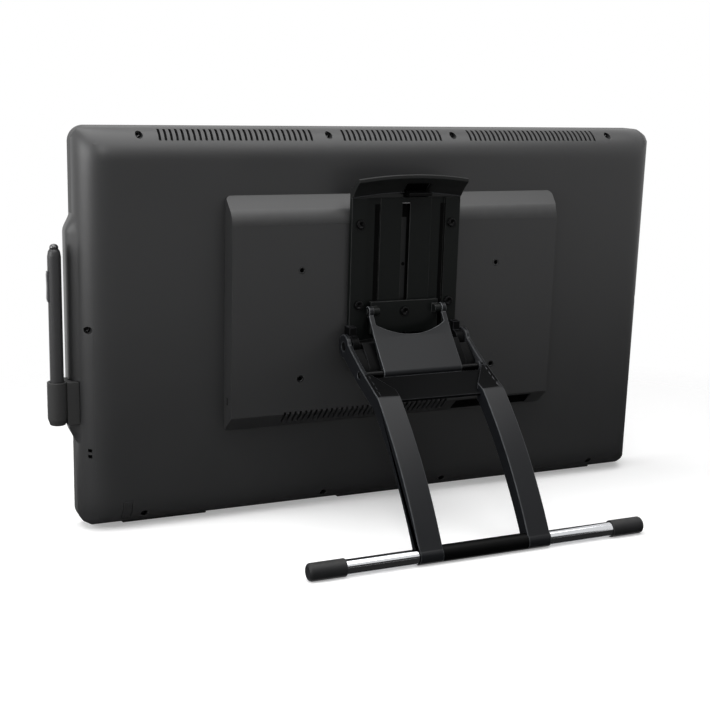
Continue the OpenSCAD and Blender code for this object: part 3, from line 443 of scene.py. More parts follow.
class Look(Enum):
    """Finishes of this object."""

    SHELL = Finish("back_shell_plastic", "shell_plastic", (0.021, 0.0212, 0.0218), 0.42, specular=0.45,
                   worn=(0.07, 0.07, 0.07), wear=0.25)
    BEZEL = Finish("bezel_plastic", "bezel_plastic", (0.016, 0.0165, 0.0175), 0.5, specular=0.3,
                   worn=(0.06, 0.06, 0.06), wear=0.2)
    BRACKET = Finish("black_bracket_paint", "black_metal", (0.0045, 0.0054, 0.0051), 0.4, specular=0.12,
                     scale=900.0, worn=(0.09, 0.09, 0.09), wear=0.5)
    HOOD = Finish("black_hood_plastic", "black_metal", (0.0095, 0.0100, 0.0099), 0.45, specular=0.2,
                  worn=(0.03, 0.03, 0.03), wear=0.2, dust=0.0)
    LEGS = Finish("grey_leg_paint", "grey_metal", (0.0070, 0.0075, 0.0088), 0.32, specular=0.17, scale=800.0,
                  dust=0.006, depth=0.00002, worn=(0.16, 0.17, 0.18), wear=0.35)
    # Near-black paint that stands in for shade: painted shade on the web, the cross plate, the hinge lugs and the
    # legs above the knee.
    CROSS = Finish("dark_painted_shade", "grey_metal", (0.0030, 0.0031, 0.0033), 0.34, specular=0.03, scale=800.0,
                   dust=0.0, depth=0.00002, worn=(0.12, 0.12, 0.13), wear=0.3)
    LINK = Finish("grey_link_paint", "grey_metal", (0.0092, 0.0099, 0.0112), 0.36, specular=0.16, scale=800.0,
                  dust=0.006, depth=0.00002, worn=(0.24, 0.25, 0.26), wear=0.7)
    # Pale paint that stands in for light: painted light on the cheeks' inner faces, and partly a painted highlight
    # on the visor's bead and the pin's rivets.
    CHEEK = Finish("pale_painted_light", "grey_metal", (0.030, 0.031, 0.034), 0.4, specular=0.2, scale=800.0,
                   dust=0.0, depth=0.00002, worn=(0.2, 0.2, 0.21), wear=0.3)
    BLACK_PLASTIC = Finish("black_plastic", "black_plastic", (0.0075, 0.0075, 0.0080), 0.45, specular=0.25,
                           worn=(0.05, 0.05, 0.05), wear=0.25)
    SCREW = Finish("blackened_screw", "black_screw", (0.004, 0.004, 0.0042), 0.24, specular=0.5,
                   worn=(0.05, 0.05, 0.05), wear=0.4, scale=2500.0, dust=0.0)
    BLACK_BOLT = Finish("black_bolt", "black_screw", (0.0020, 0.0020, 0.0022), 0.28, specular=0.1,
                        worn=(0.012, 0.012, 0.012), wear=0.3, scale=2500.0, dust=0.0)
    # Near-black film that stands in for shade: painted shade in the socket bay, behind the lever's window, on the
    # channel's sides and in the strip's hole.
    SHADE = Finish("black_painted_shade", "black_plastic", (0.0012, 0.0012, 0.0012), 0.7, specular=0.04, wear=0.0,
                   dust=0.0)
    STRIP = Finish("dark_rack_strip", "black_metal", (0.0085, 0.0090, 0.0092), 0.4, specular=0.2, wear=0.1,
                   dust=0.0)
    LEVER = Finish("black_lever", "black_plastic", (0.0015, 0.0015, 0.0016), 0.4, specular=0.06,
                   worn=(0.015, 0.015, 0.015), wear=0.3, dust=0.0)
    PIN = Finish("blackened_pin", "plated_steel", (0.022, 0.0225, 0.0235), 0.3, metal=1.0, grain=Grain.BRUSHED,
                 worn=(0.2, 0.2, 0.2), wear=0.3, dust=0.0)
    STEEL = Finish("plated_steel", "plated_steel", (0.50, 0.51, 0.53), 0.26, metal=1.0, grain=Grain.BRUSHED,
                   worn=(0.7, 0.7, 0.72), wear=0.3, dust=0.0)
    CHROME = Finish("bright_tube_plating", "bright_tube", (0.62, 0.63, 0.65), 0.09, metal=1.0,
                    grain=Grain.BRUSHED, depth=0.000004, drift=0.05, spread=0.05, wear=0.0, dust=0.02)
    RUBBER = Finish("foot_rubber", "rubber", (0.0105, 0.0107, 0.0115), 0.55, specular=0.25, scale=1100.0,
                    depth=0.00006, worn=(0.07, 0.07, 0.07), wear=0.3, dust=0.08)
    PEN = Finish("pen_soft_touch", "pen_plastic", (0.025, 0.025, 0.026), 0.46, specular=0.4, wear=0.15)
    PEN_CAP = Finish("pen_cap_gloss", "pen_plastic", (0.02, 0.02, 0.021), 0.1, specular=0.9, wear=0.0, dust=0.0)
    KEY = Finish("key_plastic", "key_plastic", (0.020, 0.020, 0.0215), 0.4, specular=0.4, wear=0.2)
    MESH = Finish("vent_gauze", "black_plastic", (0.004, 0.004, 0.0042), 0.8, specular=0.1, scale=2600.0,
                  depth=0.0001)
    BOARD = Finish("circuit_board", "circuit_board", (0.012, 0.09, 0.035), 0.35, scale=600.0, drift=0.3)
    SHEET = Finish("sheet_metal", "sheet_metal", (0.52, 0.53, 0.55), 0.38, metal=1.0, grain=Grain.BRUSHED,
                   stretch=(4.0, 500.0, 500.0))
    TRAY = Finish("backlight_tray", "tray_plastic", (0.6, 0.61, 0.62), 0.5)
    PANEL_OFF = Finish("screen_layers_off", "panel_stack", (0.006, 0.0065, 0.008), 0.3, scale=6000.0,
                       depth=0.000005, drift=0.05)
    LIGHT = Finish("status_light", "key_plastic", (0.35, 0.36, 0.38), 0.2, coat=0.5)
    GLASS = ClearFinish("cover_glass", "screen_glass", (0.86, 0.88, 0.88), 0.12)

    def material(self) -> bpy.types.Material:
        """Find the material of this finish, or make it if there is none yet."""
        return bpy.data.materials.get(self.value.name) or self.value.build()


@dataclass
class Piece:
    """One dressed piece before it joins the scene.

    Attributes:
        name: Name of the piece.
        mesh: Its mesh, in the part's metres.
        body: Body that it rides on.
        look: Its finish.
        nodes: Solids that it stands for.
        even: Whether faces shade by their own size, for rounded edges beside flats.
    """

    name: str
    mesh: bpy.types.Mesh
    body: Body
    look: Look
    nodes: tuple[str, ...] = ()
    even: bool = True

    def join(self) -> bpy.types.Object:
        """Put the piece into the scene, on its body.

        Returns:
            The new object.
        """
        thing = bpy.data.objects.new(self.name, self.mesh)
        bpy.context.scene.collection.objects.link(thing)
        self.mesh.materials.clear()
        self.mesh.materials.append(self.look.material())
        if self.even:
            weigh = thing.modifiers.new("even_shading", "WEIGHTED_NORMAL")
            weigh.keep_sharp = True
            weigh.weight = 60
        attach(thing, self.body.value)
        if self.nodes:
            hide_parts(*self.nodes)
        LOG.info("piece %s on %s", self.name, self.body.value)
        return thing

    @classmethod
    def eased(cls, node: str, body: Body, look: Look, width: float, segments: int = 2,
              name: str = "") -> bpy.types.Object:
        """Put a solid into the scene with its sharp edges rounded.

        Args:
            node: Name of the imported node.
            body: Body that it rides on.
            look: Its finish.
            width: Width of the rounding, in millimetres.
            segments: Faces across the rounding.
            name: Name of the piece, if it isn't the node's own.

        Returns:
            The new object.
        """
        shape = Forge.solid(node)
        Forge.ease(shape, Forge.sharp(shape), width, segments)
        return cls(name or node + "_dressed", Forge.finish(shape, node + "_dressed"), body, look, (node,)).join()

    @classmethod
    def shaped(cls, name: str, shape: bmesh.types.BMesh, body: Body, look: Look, nodes: tuple[str, ...] = (),
               even: bool = False) -> bpy.types.Object:
        """Put a shape into the scene.

        Args:
            name: Name of the piece.
            shape: Shape in the part's metres; it is freed.
            body: Body that it rides on.
            look: Its finish.
            nodes: Solids that it stands for.
            even: Whether faces shade by their own size.

        Returns:
            The new object.
        """
        return cls(name, Forge.finish(shape, name), body, look, nodes, even).join()


class Forge:
    """Mesh tools that the sub-assemblies share."""

    WELD = 2e-6
    FLAT = math.radians(0.4)

    @staticmethod
    def finish(shape: bmesh.types.BMesh, name: str) -> bpy.types.Mesh:
        """Turn a shape into a mesh with smooth faces.

        Args:
            shape: Shape in the part's metres; it is freed.
            name: Name of the mesh.

        Returns:
            The mesh.
        """
        for face in shape.faces:
            face.smooth = True
        mesh = bpy.data.meshes.new(name)
        shape.to_mesh(mesh)
        shape.free()
        return mesh

    @staticmethod
    def solid(node: str) -> bmesh.types.BMesh:
        """Take a welded copy of a solid, with its flat faces made whole.

        Args:
            node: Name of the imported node.

        Returns:
            The copy.
        """
        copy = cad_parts[node].data.copy()
        for key in ("custom_normal", "sharp_edge", "sharp_face"):
            if key in copy.attributes:
                copy.attributes.remove(copy.attributes[key])
        shape = bmesh.new()
        shape.from_mesh(copy)
        bpy.data.meshes.remove(copy)
        bmesh.ops.remove_doubles(shape, verts=shape.verts, dist=Forge.WELD)
        bmesh.ops.dissolve_limit(shape, angle_limit=Forge.FLAT, verts=shape.verts, edges=shape.edges)
        return shape

    @staticmethod
    def ease(shape: bmesh.types.BMesh, edges: list, width: float, segments: int = 2) -> None:
        """Round edges and mark the new faces for wear.

        Args:
            shape: Shape to change.
            edges: Edges to round.
            width: Width of the rounding, in millimetres.
            segments: Faces across the rounding.
        """
        if not edges:
            return
        done = bmesh.ops.bevel(shape, geom=edges, offset=width / 1000, offset_type="OFFSET", segments=segments,
                               profile=0.5, affect="EDGES", clamp_overlap=False, loop_slide=True)
        layer = shape.loops.layers.float.get("edge") or shape.loops.layers.float.new("edge")
        for face in done["faces"]:
            for loop in face.loops:
                loop[layer] = 1.0

    @staticmethod
    def sharp(shape: bmesh.types.BMesh, angle: float = 34.0) -> list:
        """List the edges that turn by more than an angle in degrees."""
        limit = math.radians(angle)
        return [e for e in shape.edges if len(e.link_faces) == 2 and e.calc_face_angle(0.0) > limit]

    @staticmethod
    def lathe(shape: bmesh.types.BMesh, profile: list[tuple[float, float]], place: Matrix,
              steps: int = 48) -> None:
        """Turn a profile about the local Z axis and add it to a shape.

        Args:
            shape: Shape that takes the faces.
            profile: Points of radius and height, in the place's units.
            place: Matrix from the local frame to the shape's.
            steps: Faces around.
        """
        rings = []
        for radius, height in profile:
            ring = []
            for i in range(steps if radius > 1e-9 else 1):
                turn = 2 * math.pi * i / steps
                local = Vector((radius * math.cos(turn), radius * math.sin(turn), height))
                ring.append(shape.verts.new(place @ local))
            rings.append(ring)
        for low, high in zip(rings, rings[1:]):
            for i in range(steps):
                corners = [low[i % len(low)], low[(i + 1) % len(low)],
                           high[(i + 1) % len(high)], high[i % len(high)]]
                unique = list(dict.fromkeys(corners))
                if len(unique) > 2:
                    shape.faces.new(unique)

    @staticmethod
    def loft(shape: bmesh.types.BMesh, rows: list[list[Point]], place: Matrix = PANEL.matrix,
             ring: bool = False) -> list[list[bmesh.types.BMVert]]:
        """Join neighbouring rows of points by faces.

        Args:
            shape: Shape that takes the faces.
            rows: Rows of points, all of one length.
            place: Matrix from the points' frame to the shape's.
            ring: Whether each row closes on itself.

        Returns:
            The rows of vertices.
        """
        made = [[shape.verts.new(place @ Vector(point)) for point in row] for row in rows]
        for one, two in zip(made, made[1:]):
            for k in range(len(one) if ring else len(one) - 1):
                n = (k + 1) % len(one)
                shape.faces.new((one[k], one[n], two[n], two[k]))
        return made

    @staticmethod
    def facing(across: float, back: float, up: float) -> Matrix:
        """Matrix of a local frame on the panel whose Z looks out of the back, in millimetres."""
        return PANEL.matrix @ Matrix.Translation((across, back, up)) @ Matrix.Rotation(math.radians(-90), 4, "X")


@dataclass
class ScrewSet:
    """Cross-recessed screws of one size.

    Attributes:
        name: Name of the piece.
        spots: Across, seat depth and height of each screw, in millimetres.
        radius: Radius of the head.
        height: Height of the head.
        recess: Half length of the cross recess.
        slit: Half width of the cross recess.
        body: Body that the screws ride on.
        nodes: Solids that they stand for.
        look: Finish of the screws.
        first_turn: Turn of the first screw's recess, in radians.
        next_turn: Turn from one screw to the next.
    """

    name: str
    spots: list[Point]
    radius: float
    height: float
    recess: float
    slit: float
    body: Body
    nodes: tuple[str, ...]
    look: Look = Look.SCREW
    first_turn: float = 0.5
    next_turn: float = 1.7

    def build(self) -> bpy.types.Object:
        """Make the heads and put them into the scene.

        Returns:
            The new object.
        """
        shape = bmesh.new()
        for i, spot in enumerate(self.spots):
            turn = self.first_turn + self.next_turn * i
            self._head(shape, Forge.facing(*spot) @ Matrix.Rotation(turn, 4, "Z"))
        bmesh.ops.recalc_face_normals(shape, faces=shape.faces)
        return Piece.shaped(self.name, shape, self.body, self.look, self.nodes, even=True)

    def _head(self, shape: bmesh.types.BMesh, place: Matrix) -> None:
        """Add one head with its recess.

        Args:
            shape: Shape that takes the faces.
            place: Frame of the screw, with Z out of the head.
        """
        r, h, a, b = self.radius, self.height, self.recess, self.slit
        rim, flat, sides = 0.28 * h, 0.8 * r, 40
        Forge.lathe(shape, [(0.0, -0.6), (r * 0.97, -0.6), (r, 0.15), (r, h - rim), (r * 0.96, h - rim * 0.45),
                            (r * 0.88, h - rim * 0.1), (flat, h)], place, sides)
        outline = [(b, a), (b, b), (a, b), (a, -b), (b, -b), (b, -a), (-b, -a), (-b, -b), (-a, -b), (-a, b),
                   (-b, b), (-b, a)]
        rows = [[(x, y, h) for x, y in outline], [(x * 0.72, y * 0.72, h * 0.25) for x, y in outline]]
        top, low = Forge.loft(shape, rows, place, ring=True)
        shape.faces.new(low)
        circle = [shape.verts.new(place @ Vector((flat * math.cos(t), flat * math.sin(t), h)))
                  for t in (2 * math.pi * i / sides for i in range(sides))]
        edges = [shape.edges.new((circle[i], circle[(i + 1) % sides])) for i in range(sides)]
        edges += [e for v in top for e in v.link_edges if e.other_vert(v) in top]
        bmesh.ops.triangle_fill(shape, edges=list(dict.fromkeys(edges)), use_beauty=True)


@dataclass
class BayShadeFilm:
    """Black film on the walls of the socket bay, painted shade inside the bay.

    Attributes:
        left: One end of the bay.
        right: Its other end.
        near: Depth and lower height of its inner wall.
        far: Depth and lower height of its open side.
        high: Height of its roof.
        film: Thickness of the film, in metres.
    """

    left: float = -149.8
    right: float = -65.2
    near: tuple[float, float] = (49.2, 87.6)
    far: tuple[float, float] = (61.3, 99.2)
    high: float = 103.6
    film: float = 0.0001

    def build(self) -> None:
        """Lay the painted shade on the inner wall and both ends."""
        shape = bmesh.new()
        walls = ((self.left, self.far), (self.left, self.near), (self.right, self.near), (self.right, self.far))
        Forge.loft(shape, [[(x, back, up) for up in (low, self.high)] for x, (back, low) in walls])
        # Near-black film: painted shade in the bay.
        lined = Piece.shaped("bay_liner", shape, Body.DISPLAY, Look.SHADE)
        lined.modifiers.new("film", "SOLIDIFY").thickness = self.film


@dataclass
class ArmInserts:
    """Threaded inserts of the arm mount.

    Attributes:
        outer: Outer radius.
        mouth: Radius of the opening's bevel.
        bore: Radius at the thread's root.
        crest: Radius at the thread's crest.
        deep: Length of an insert.
        pitch: Pitch of the thread.
        start: Depth where the thread starts.
        turns: Turns of the thread.
        across: Places across.
        ups: Heights.
    """

    outer: float = 3.38
    mouth: float = 2.25
    bore: float = 1.95
    crest: float = 1.66
    deep: float = 7.9
    pitch: float = 0.7
    start: float = 0.5
    turns: int = 10
    across: tuple[float, ...] = (-100.0, 100.0)
    ups: tuple[float, ...] = (133.6, 233.6)

    def build(self, face: float) -> None:
        """Make the inserts, flush with a face at a depth."""
        shape = bmesh.new()
        profile = [(self.outer, -self.deep), (self.outer, -0.1), (self.outer - 0.18, 0.0), (self.mouth, 0.0),
                   (self.bore, -0.3)]
        for i in range(self.turns):
            profile += [(self.bore, -self.start - self.pitch * i),
                        (self.crest, -self.start - self.pitch * (i + 0.5))]
        profile += [(self.bore, -self.deep), (self.outer, -self.deep)]
        for x in self.across:
            for up in self.ups:
                Forge.lathe(shape, profile, Forge.facing(x, face, up), 32)
        bmesh.ops.recalc_face_normals(shape, faces=shape.faces)
        Piece.shaped("arm_inserts", shape, Body.DISPLAY, Look.SCREW, ("mount_inserts",), even=True)


@dataclass
class BackShell:
    """Back of the screen unit: moulded cover, its vents, screws, plug, inserts and sockets.

    Attributes:
        width: Width of the unit.
        height: Height of the unit.
        corner: Radius of its corners.
        back: Depth of its flat back.
        round_r: Radius of the rounded edges.
        face: Depth of the raised block's face.
        block_half: Half width of the raised block.
        block_low: Lower edge of the block's face.
        block_high: Upper edge of the block's face.
        crown: Width of the rounding over the block's top.
        wall: Thickness of the walls.
        well: Radius of the screw wells.
        rail_out: How far the side rail stands out.
        rail_high: Upper end of the side rail.
        rail_low: Lower end of the side rail.
        rail_front: Depth of the rail's front.
        rail_run: Length of the rail's sloped end.
        clip_top: Height of the pen clip's upper end.
        clip_low: Height of the pen clip's lower end.
        turns: Directions of the flats that round the corners, in degrees.
        roll: Distance from the edge where the shading starts to turn.
        soft: Softness of the turn from the flat back to the rounded edges.
        reach: How far the side rail's swell goes round the edge, in degrees.
        rail_proud: How far the rail's face stands over its solid.
        rail_sink: How far the rail's ends sink into the shell.
        swell_sink: How far the swell's far edge sinks into the shell.
        crease: Least angle of the edges that are rounded, in degrees.
        rim_edge: Rounding of the block's sides.
        well_edge: Rounding of the screw wells.
        slack: How near an edge is to a line that it counts as on.
        blend: Width over which neighbouring flats of a corner blend.
        skin: How far off the pillow shape a point can take its shading.
        alike: Least cosine between faces that shade as one.
        cuts: Number of cuts across the rounded edges.
        cut_step: Angle from one cut to the next, in degrees.
        cut_first: How far inside the rounded edge the first cut is.
        seat: Depth of the screws' seats under the surface.
        screw_across: Places of the upper and lower screws.
        screw_top: Distance of the upper screws from the edge.
        screw_low: Distance of the lower screws from the edge.
        screw_side: Distance of the side screws from the edge.
        screw_mid: Height of the side screws.
        gauze_gap: Gap between the cover and the gauze.
        gauze_spans: Ends of the upper vents.
        gauze_low: Ends of the lower vent.
        gauze_slope: Depths and heights along the lower vent.
        gauze_film: Thickness of the gauze, in metres.
        bay: Painted shade in the socket bay.
        inserts: Inserts of the arm mount.
    """

    width: float = 590.0
    height: float = 358.0
    corner: float = 14.0
    back: float = 48.0
    round_r: float = 35.0
    face: float = 64.0
    block_half: float = 166.0
    block_low: float = 101.0
    block_high: float = 283.0
    crown: float = 8.0
    wall: float = 2.5
    well: float = 3.1
    rail_out: float = 6.0
    rail_high: float = 284.0
    rail_low: float = 77.0
    rail_front: float = 2.0
    rail_run: float = 17.0
    clip_top: float = 136.6
    clip_low: float = 99.0
    turns: tuple[float, ...] = (0.0, 30.0, 60.0, 90.0, 120.0, 150.0)
    roll: float = 27.0
    soft: float = 0.2
    reach: float = 24.0
    rail_proud: float = 0.03
    rail_sink: float = 0.15
    swell_sink: float = 0.12
    crease: float = 24.0
    rim_edge: float = 0.7
    well_edge: float = 0.6
    slack: float = 0.05
    blend: float = 1.2
    skin: float = 0.3
    alike: float = 0.8
    cuts: int = 9
    cut_step: float = 10.0
    cut_first: float = 7.0
    seat: float = 8.0
    screw_across: tuple[float, ...] = (-240.0, -64.0, 64.0, 240.0)
    screw_top: float = 6.5
    screw_low: float = 13.0
    screw_side: float = 8.0
    screw_mid: float = 184.0
    gauze_gap: float = 0.7
    gauze_spans: tuple[tuple[float, float], ...] = ((-233.0, -70.0), (-57.0, 57.0), (70.0, 233.0))
    gauze_low: tuple[float, float] = (-57.0, 119.0)
    gauze_slope: tuple[tuple[float, float], ...] = ((52.0, 95.3), (56.5, 99.5), (61.0, 103.8))
    gauze_film: float = 0.0004
    bay: BayShadeFilm = field(default_factory=BayShadeFilm)
    inserts: ArmInserts = field(default_factory=ArmInserts)

    def build(self) -> None:
        """Make every piece of the back."""
        self._cover()
        for node, width, look in (("rear_plug", 0.3, Look.SHELL), ("power_socket", 0.3, Look.BLACK_PLASTIC),
                                  ("video_socket", 0.15, Look.STEEL), ("usb_socket", 0.15, Look.STEEL)):
            Piece.eased(node, Body.DISPLAY, look, width)
        self._gauze()
        ScrewSet("cover_screw_heads", self._spots(), radius=2.6, height=2.0, recess=1.5, slit=0.42,
                 body=Body.DISPLAY, nodes=("cover_screws",)).build()
        self.inserts.build(self.face)
        self._swell()
        self.bay.build()

    def _swell(self) -> None:
        """Blend the side rail into the rounded edge, above and below the pen's clip."""
        shape = bmesh.new()
        for low, high, end in ((self.clip_top, self.rail_high, self.rail_high),
                               (self.rail_low, self.clip_low, self.rail_low)):
            rows = []
            for i in range(61):
                up = low + (high - low) * i / 60
                rise = min(1.0, abs(end - up) / self.rail_run)
                rows.append([(x, back, up) for x, back in self._rail_line(rise)])
            Forge.loft(shape, rows)
        Piece.shaped("side_swell", shape, Body.DISPLAY, Look.SHELL)

    def _rail_line(self, rise: float) -> list[tuple[float, float]]:
        """Outline of the rail and its blend at one height.

        Args:
            rise: Share of the rail's full step, from 0 to 1.

        Returns:
            Places across and depths, from the front round to the back.
        """
        edge, out = self.width / 2, self.rail_out * rise * rise * (3 - 2 * rise)
        front = edge + out + self.rail_proud - self.rail_sink * (1 - rise)
        line = [(edge - 0.3, self.rail_front), (front - 0.6 * rise, self.rail_front),
                (front - 0.2 * rise, self.rail_front + 0.2), (front, self.rail_front + 0.7)]
        for k in range(22):
            turn = math.radians(self.reach) * k / 21
            fall = 0.5 + 0.5 * math.cos(math.pi * k / 21)
            x = edge - self.round_r * (1 - math.cos(turn)) + out * fall - self.swell_sink * (1 - fall * rise)
            line.append((x, self.back - self.round_r * (1 - math.sin(turn))))
        return line

    def _edge_back(self, inset: float) -> float:
        """Depth of the rounded surface at a distance from the edge."""
        return self.back - self.round_r + math.sqrt(self.round_r ** 2 - (self.round_r - inset) ** 2)

    def _true_normals(self, points: np.ndarray) -> tuple[np.ndarray, np.ndarray]:
        """Find the pillow-shaped back's own normals at points near it.

        Args:
            points: Upright places in millimetres.

        Returns:
            Unit normals, and how far each point is off the surface.
        """
        centre = self.back - self.round_r
        gaps = [points[:, 1] - self.back]
        normals = [np.tile([0.0, 1.0, 0.0], (len(points), 1))]
        for turn in self.turns:
            way = np.array([math.cos(math.radians(turn)), 0.0, math.sin(math.radians(turn))])
            reach = self.corner + (self.width / 2 - self.corner) * abs(way[0]) \
                + (self.height / 2 - self.corner) * abs(way[2])
            along = (points - [0.0, 0.0, self.height / 2]) @ way
            side = np.sign(along)
            run = np.abs(along) - (reach - self.round_r)
            rise = points[:, 1] - centre
            length = np.hypot(run, rise)
            gaps.append(np.where(run > 0, length - self.round_r, -1e3))
            normal = (run * side)[:, None] * way + rise[:, None] * np.array([0.0, 1.0, 0.0])
            normals.append(normal / np.maximum(length, 1e-6)[:, None])
        gap = np.array(gaps)
        share = np.exp((gap - gap.max(0)) / self.blend)
        mixed = (share[:, :, None] * np.array(normals)).sum(0)
        return mixed / np.linalg.norm(mixed, axis=1)[:, None], gap.max(0)

    def _pillow(self, points: np.ndarray) -> np.ndarray:
        """Find shading normals that roll softly over the rounded edges and corners.

        Args:
            points: Upright places in millimetres.

        Returns:
            Unit normals.
        """
        middle = np.array([0.0, self.height / 2])
        half = np.array([self.width / 2, self.height / 2])
        off = points[:, [0, 2]] - middle
        turn = (np.abs(off) - half + self.roll) / self.roll
        sine = np.clip((turn + np.sqrt(turn ** 2 + self.soft ** 2)) / 2, 0.0, 0.995)
        lean = np.sign(off) * sine / np.sqrt(1 - sine ** 2)
        normals = np.stack([lean[:, 0], np.ones(len(points)), lean[:, 1]], axis=1)
        return normals / np.linalg.norm(normals, axis=1)[:, None]

    def _cover(self) -> None:
        """Make the cover, with the block's edges rounded and the pillow shape shaded smoothly."""
        shape = Forge.solid("rear_cover")
        upright = PANEL.matrix.inverted()
        self._slice(shape)
        crown, rims = [], []
        for edge in Forge.sharp(shape, self.crease):
            ends = [upright @ v.co for v in edge.verts]
            middle = (ends[0] + ends[1]) / 2
            if max(abs(middle.y - self.face), abs(middle.z - self.block_high)) < self.slack:
                crown.append(edge)
            elif self._on_block(ends, middle):
                rims.append(edge)
        wells = [e for e in Forge.sharp(shape, self.crease) if self._on_well([upright @ v.co for v in e.verts])]
        Forge.ease(shape, crown, self.crown, 6)
        Forge.ease(shape, [e for e in rims if e.is_valid], self.rim_edge, 3)
        Forge.ease(shape, [e for e in wells if e.is_valid], self.well_edge, 2)
        mesh = Forge.finish(shape, "back_shell")
        self._shade(mesh, upright)
        Piece("back_shell", mesh, Body.DISPLAY, Look.SHELL, ("rear_cover",), even=False).join()

    def _slice(self, shape: bmesh.types.BMesh) -> None:
        """Cut the rounded edges across, so that their shading has places to follow them."""
        for step in range(self.cuts):
            inset = self.round_r * (1 - math.sin(math.radians(self.cut_step * step)))
            inset += self.cut_first if step == 0 else 0.0
            half, top = self.width / 2 - inset, self.height - inset
            for spot, way in (((half, 0, 0), (1, 0, 0)), ((-half, 0, 0), (1, 0, 0)), ((0, 0, top), (0, 0, 1)),
                              ((0, 0, inset), (0, 0, 1))):
                bmesh.ops.bisect_plane(shape, geom=shape.verts[:] + shape.edges[:] + shape.faces[:], dist=1e-7,
                                       plane_co=PANEL.place(*spot), plane_no=PANEL.matrix.to_3x3() @ Vector(way))

    def _on_well(self, ends: list[Vector]) -> bool:
        """Tell whether an edge is on the outer rim of a screw well."""
        for x, _, up in self._spots():
            if all(abs(math.hypot(p.x - x, p.z - up) - self.well) < 0.06 for p in ends):
                points = np.array([[p.x, p.y, p.z] for p in ends])
                return bool(np.abs(self._true_normals(points)[1]).max() < 0.4)
        return False

    def _on_block(self, ends: list[Vector], middle: Vector) -> bool:
        """Tell whether an edge is a side or lower edge of the block's face."""
        side = abs(abs(middle.x) - self.block_half) < self.slack and abs(ends[0].z - ends[1].z) > 3.0
        low = abs(middle.z - self.block_low) < self.slack and abs(ends[0].x - ends[1].x) > 0.5
        return abs(middle.y - self.face) < self.slack and (side or low)

    def _shade(self, mesh: bpy.types.Mesh, upright: Matrix) -> None:
        """Give the mesh shading normals: the pillow's own on the back, and even ones elsewhere.

        Args:
            mesh: Mesh of the cover.
            upright: Matrix from the part's metres to upright millimetres.
        """
        count = len(mesh.loops)
        corner = np.empty(count, np.int32)
        mesh.loops.foreach_get("vertex_index", corner)
        places = np.empty(len(mesh.vertices) * 3, np.float32)
        mesh.vertices.foreach_get("co", places)
        places = places.reshape(-1, 3).astype(float)
        flat = np.array(upright)
        local = places @ flat[:3, :3].T + flat[:3, 3]
        face_of = np.empty(count, np.int32)
        for polygon in mesh.polygons:
            face_of[polygon.loop_start:polygon.loop_start + polygon.loop_total] = polygon.index
        facing = np.array([p.normal for p in mesh.polygons])
        area = np.array([p.area for p in mesh.polygons])
        normals = facing[face_of]
        users: dict[int, list[int]] = {}
        for loop, vertex in enumerate(corner):
            users.setdefault(int(vertex), []).append(loop)
        for loops in users.values():
            own = facing[face_of[loops]]
            near = (own @ own.T) > self.alike
            weight = near * area[face_of[loops]][None, :]
            total = weight @ own
            normals[loops] = total / np.maximum(np.linalg.norm(total, axis=1), 1e-12)[:, None]
        turn = np.array(PANEL.matrix.to_3x3().normalized())
        true, gap = self._true_normals(local)
        smooth = (np.abs(gap[corner]) < self.skin) & (((true @ turn.T)[corner] * facing[face_of]).sum(1) > 0.9)
        normals[smooth] = (self._pillow(local) @ turn.T)[corner][smooth]
        mesh.normals_split_custom_set(normals.tolist())

    def _gauze(self) -> None:
        """Lay dark gauze behind the vents, inside the cover."""
        shape = bmesh.new()
        centre_up, centre_back = self.height - self.round_r, self.back - self.round_r
        reach = self.round_r - self.wall - self.gauze_gap
        arc = [(centre_back + reach * math.sin(t), centre_up + reach * math.cos(t))
               for t in (math.radians(16 + 9 * i) for i in range(8))]
        sheets = [(arc, span) for span in self.gauze_spans] + [(self.gauze_slope, self.gauze_low)]
        for line, (left, right) in sheets:
            Forge.loft(shape, [[(right + (left - right) * i / 6, back, up) for back, up in line] for i in range(7)])
        gauze = Piece.shaped("vent_gauze", shape, Body.DISPLAY, Look.MESH)
        gauze.modifiers.new("cloth_thickness", "SOLIDIFY").thickness = self.gauze_film

    def _spots(self) -> list[Point]:
        """List the cover screws: place across, depth of the seat and height."""
        spots: list[Point] = []
        for x in self.screw_across:
            spots.append((x, self._edge_back(self.screw_top) - self.seat, self.height - self.screw_top))
            spots.append((x, self._edge_back(self.screw_low) - self.seat, self.screw_low))
        side = self.width / 2 - self.screw_side
        spots += [(x, self._edge_back(self.screw_side) - self.seat, self.screw_mid) for x in (-side, side)]
        return spots


@dataclass
class FrontFace:
    """Front of the screen unit: bezel, glass, keys and feet.

    Attributes:
        bezel_edge: Rounding of the bezel's edges.
        key_edge: Rounding of the keys' edges.
        foot_edge: Rounding of the feet.
        glass_edge: Rounding of the glass.
        lens_at: Place of the status light's lens.
        lens: Radius and height along the lens's dome.
    """

    bezel_edge: float = 0.9
    key_edge: float = 0.5
    foot_edge: float = 0.6
    glass_edge: float = 0.25
    lens_at: Point = (-98.0, 0.0, 338.0)
    lens: tuple[tuple[float, float], ...] = ((1.3, 0.0), (1.3, 0.15), (0.95, 0.33), (0.5, 0.42), (0.0, 0.45))

    def build(self) -> None:
        """Make every piece of the front."""
        Piece.eased("front_bezel", Body.DISPLAY, Look.BEZEL, self.bezel_edge, 3, "bezel_frame")
        Piece.eased("cover_glass", Body.DISPLAY, Look.GLASS, self.glass_edge, 2, "front_glass")
        Piece.eased("table_feet", Body.DISPLAY, Look.RUBBER, self.foot_edge, 3, "rubber_feet")
        for i, body in enumerate((Body.KEY_1, Body.KEY_2, Body.KEY_3, Body.KEY_4), 1):
            Piece.eased(f"function_key_{i}", body, Look.KEY, self.key_edge, 3, f"key_cap_{i}")
        Piece.eased("power_button", Body.POWER_KEY, Look.KEY, self.key_edge, 3, "power_cap")
        shape = bmesh.new()
        front = PANEL.matrix @ Matrix.Translation(self.lens_at) @ Matrix.Rotation(math.radians(90), 4, "X")
        Forge.lathe(shape, list(self.lens), front, 28)
        Piece.shaped("status_lens", shape, Body.DISPLAY, Look.LIGHT)


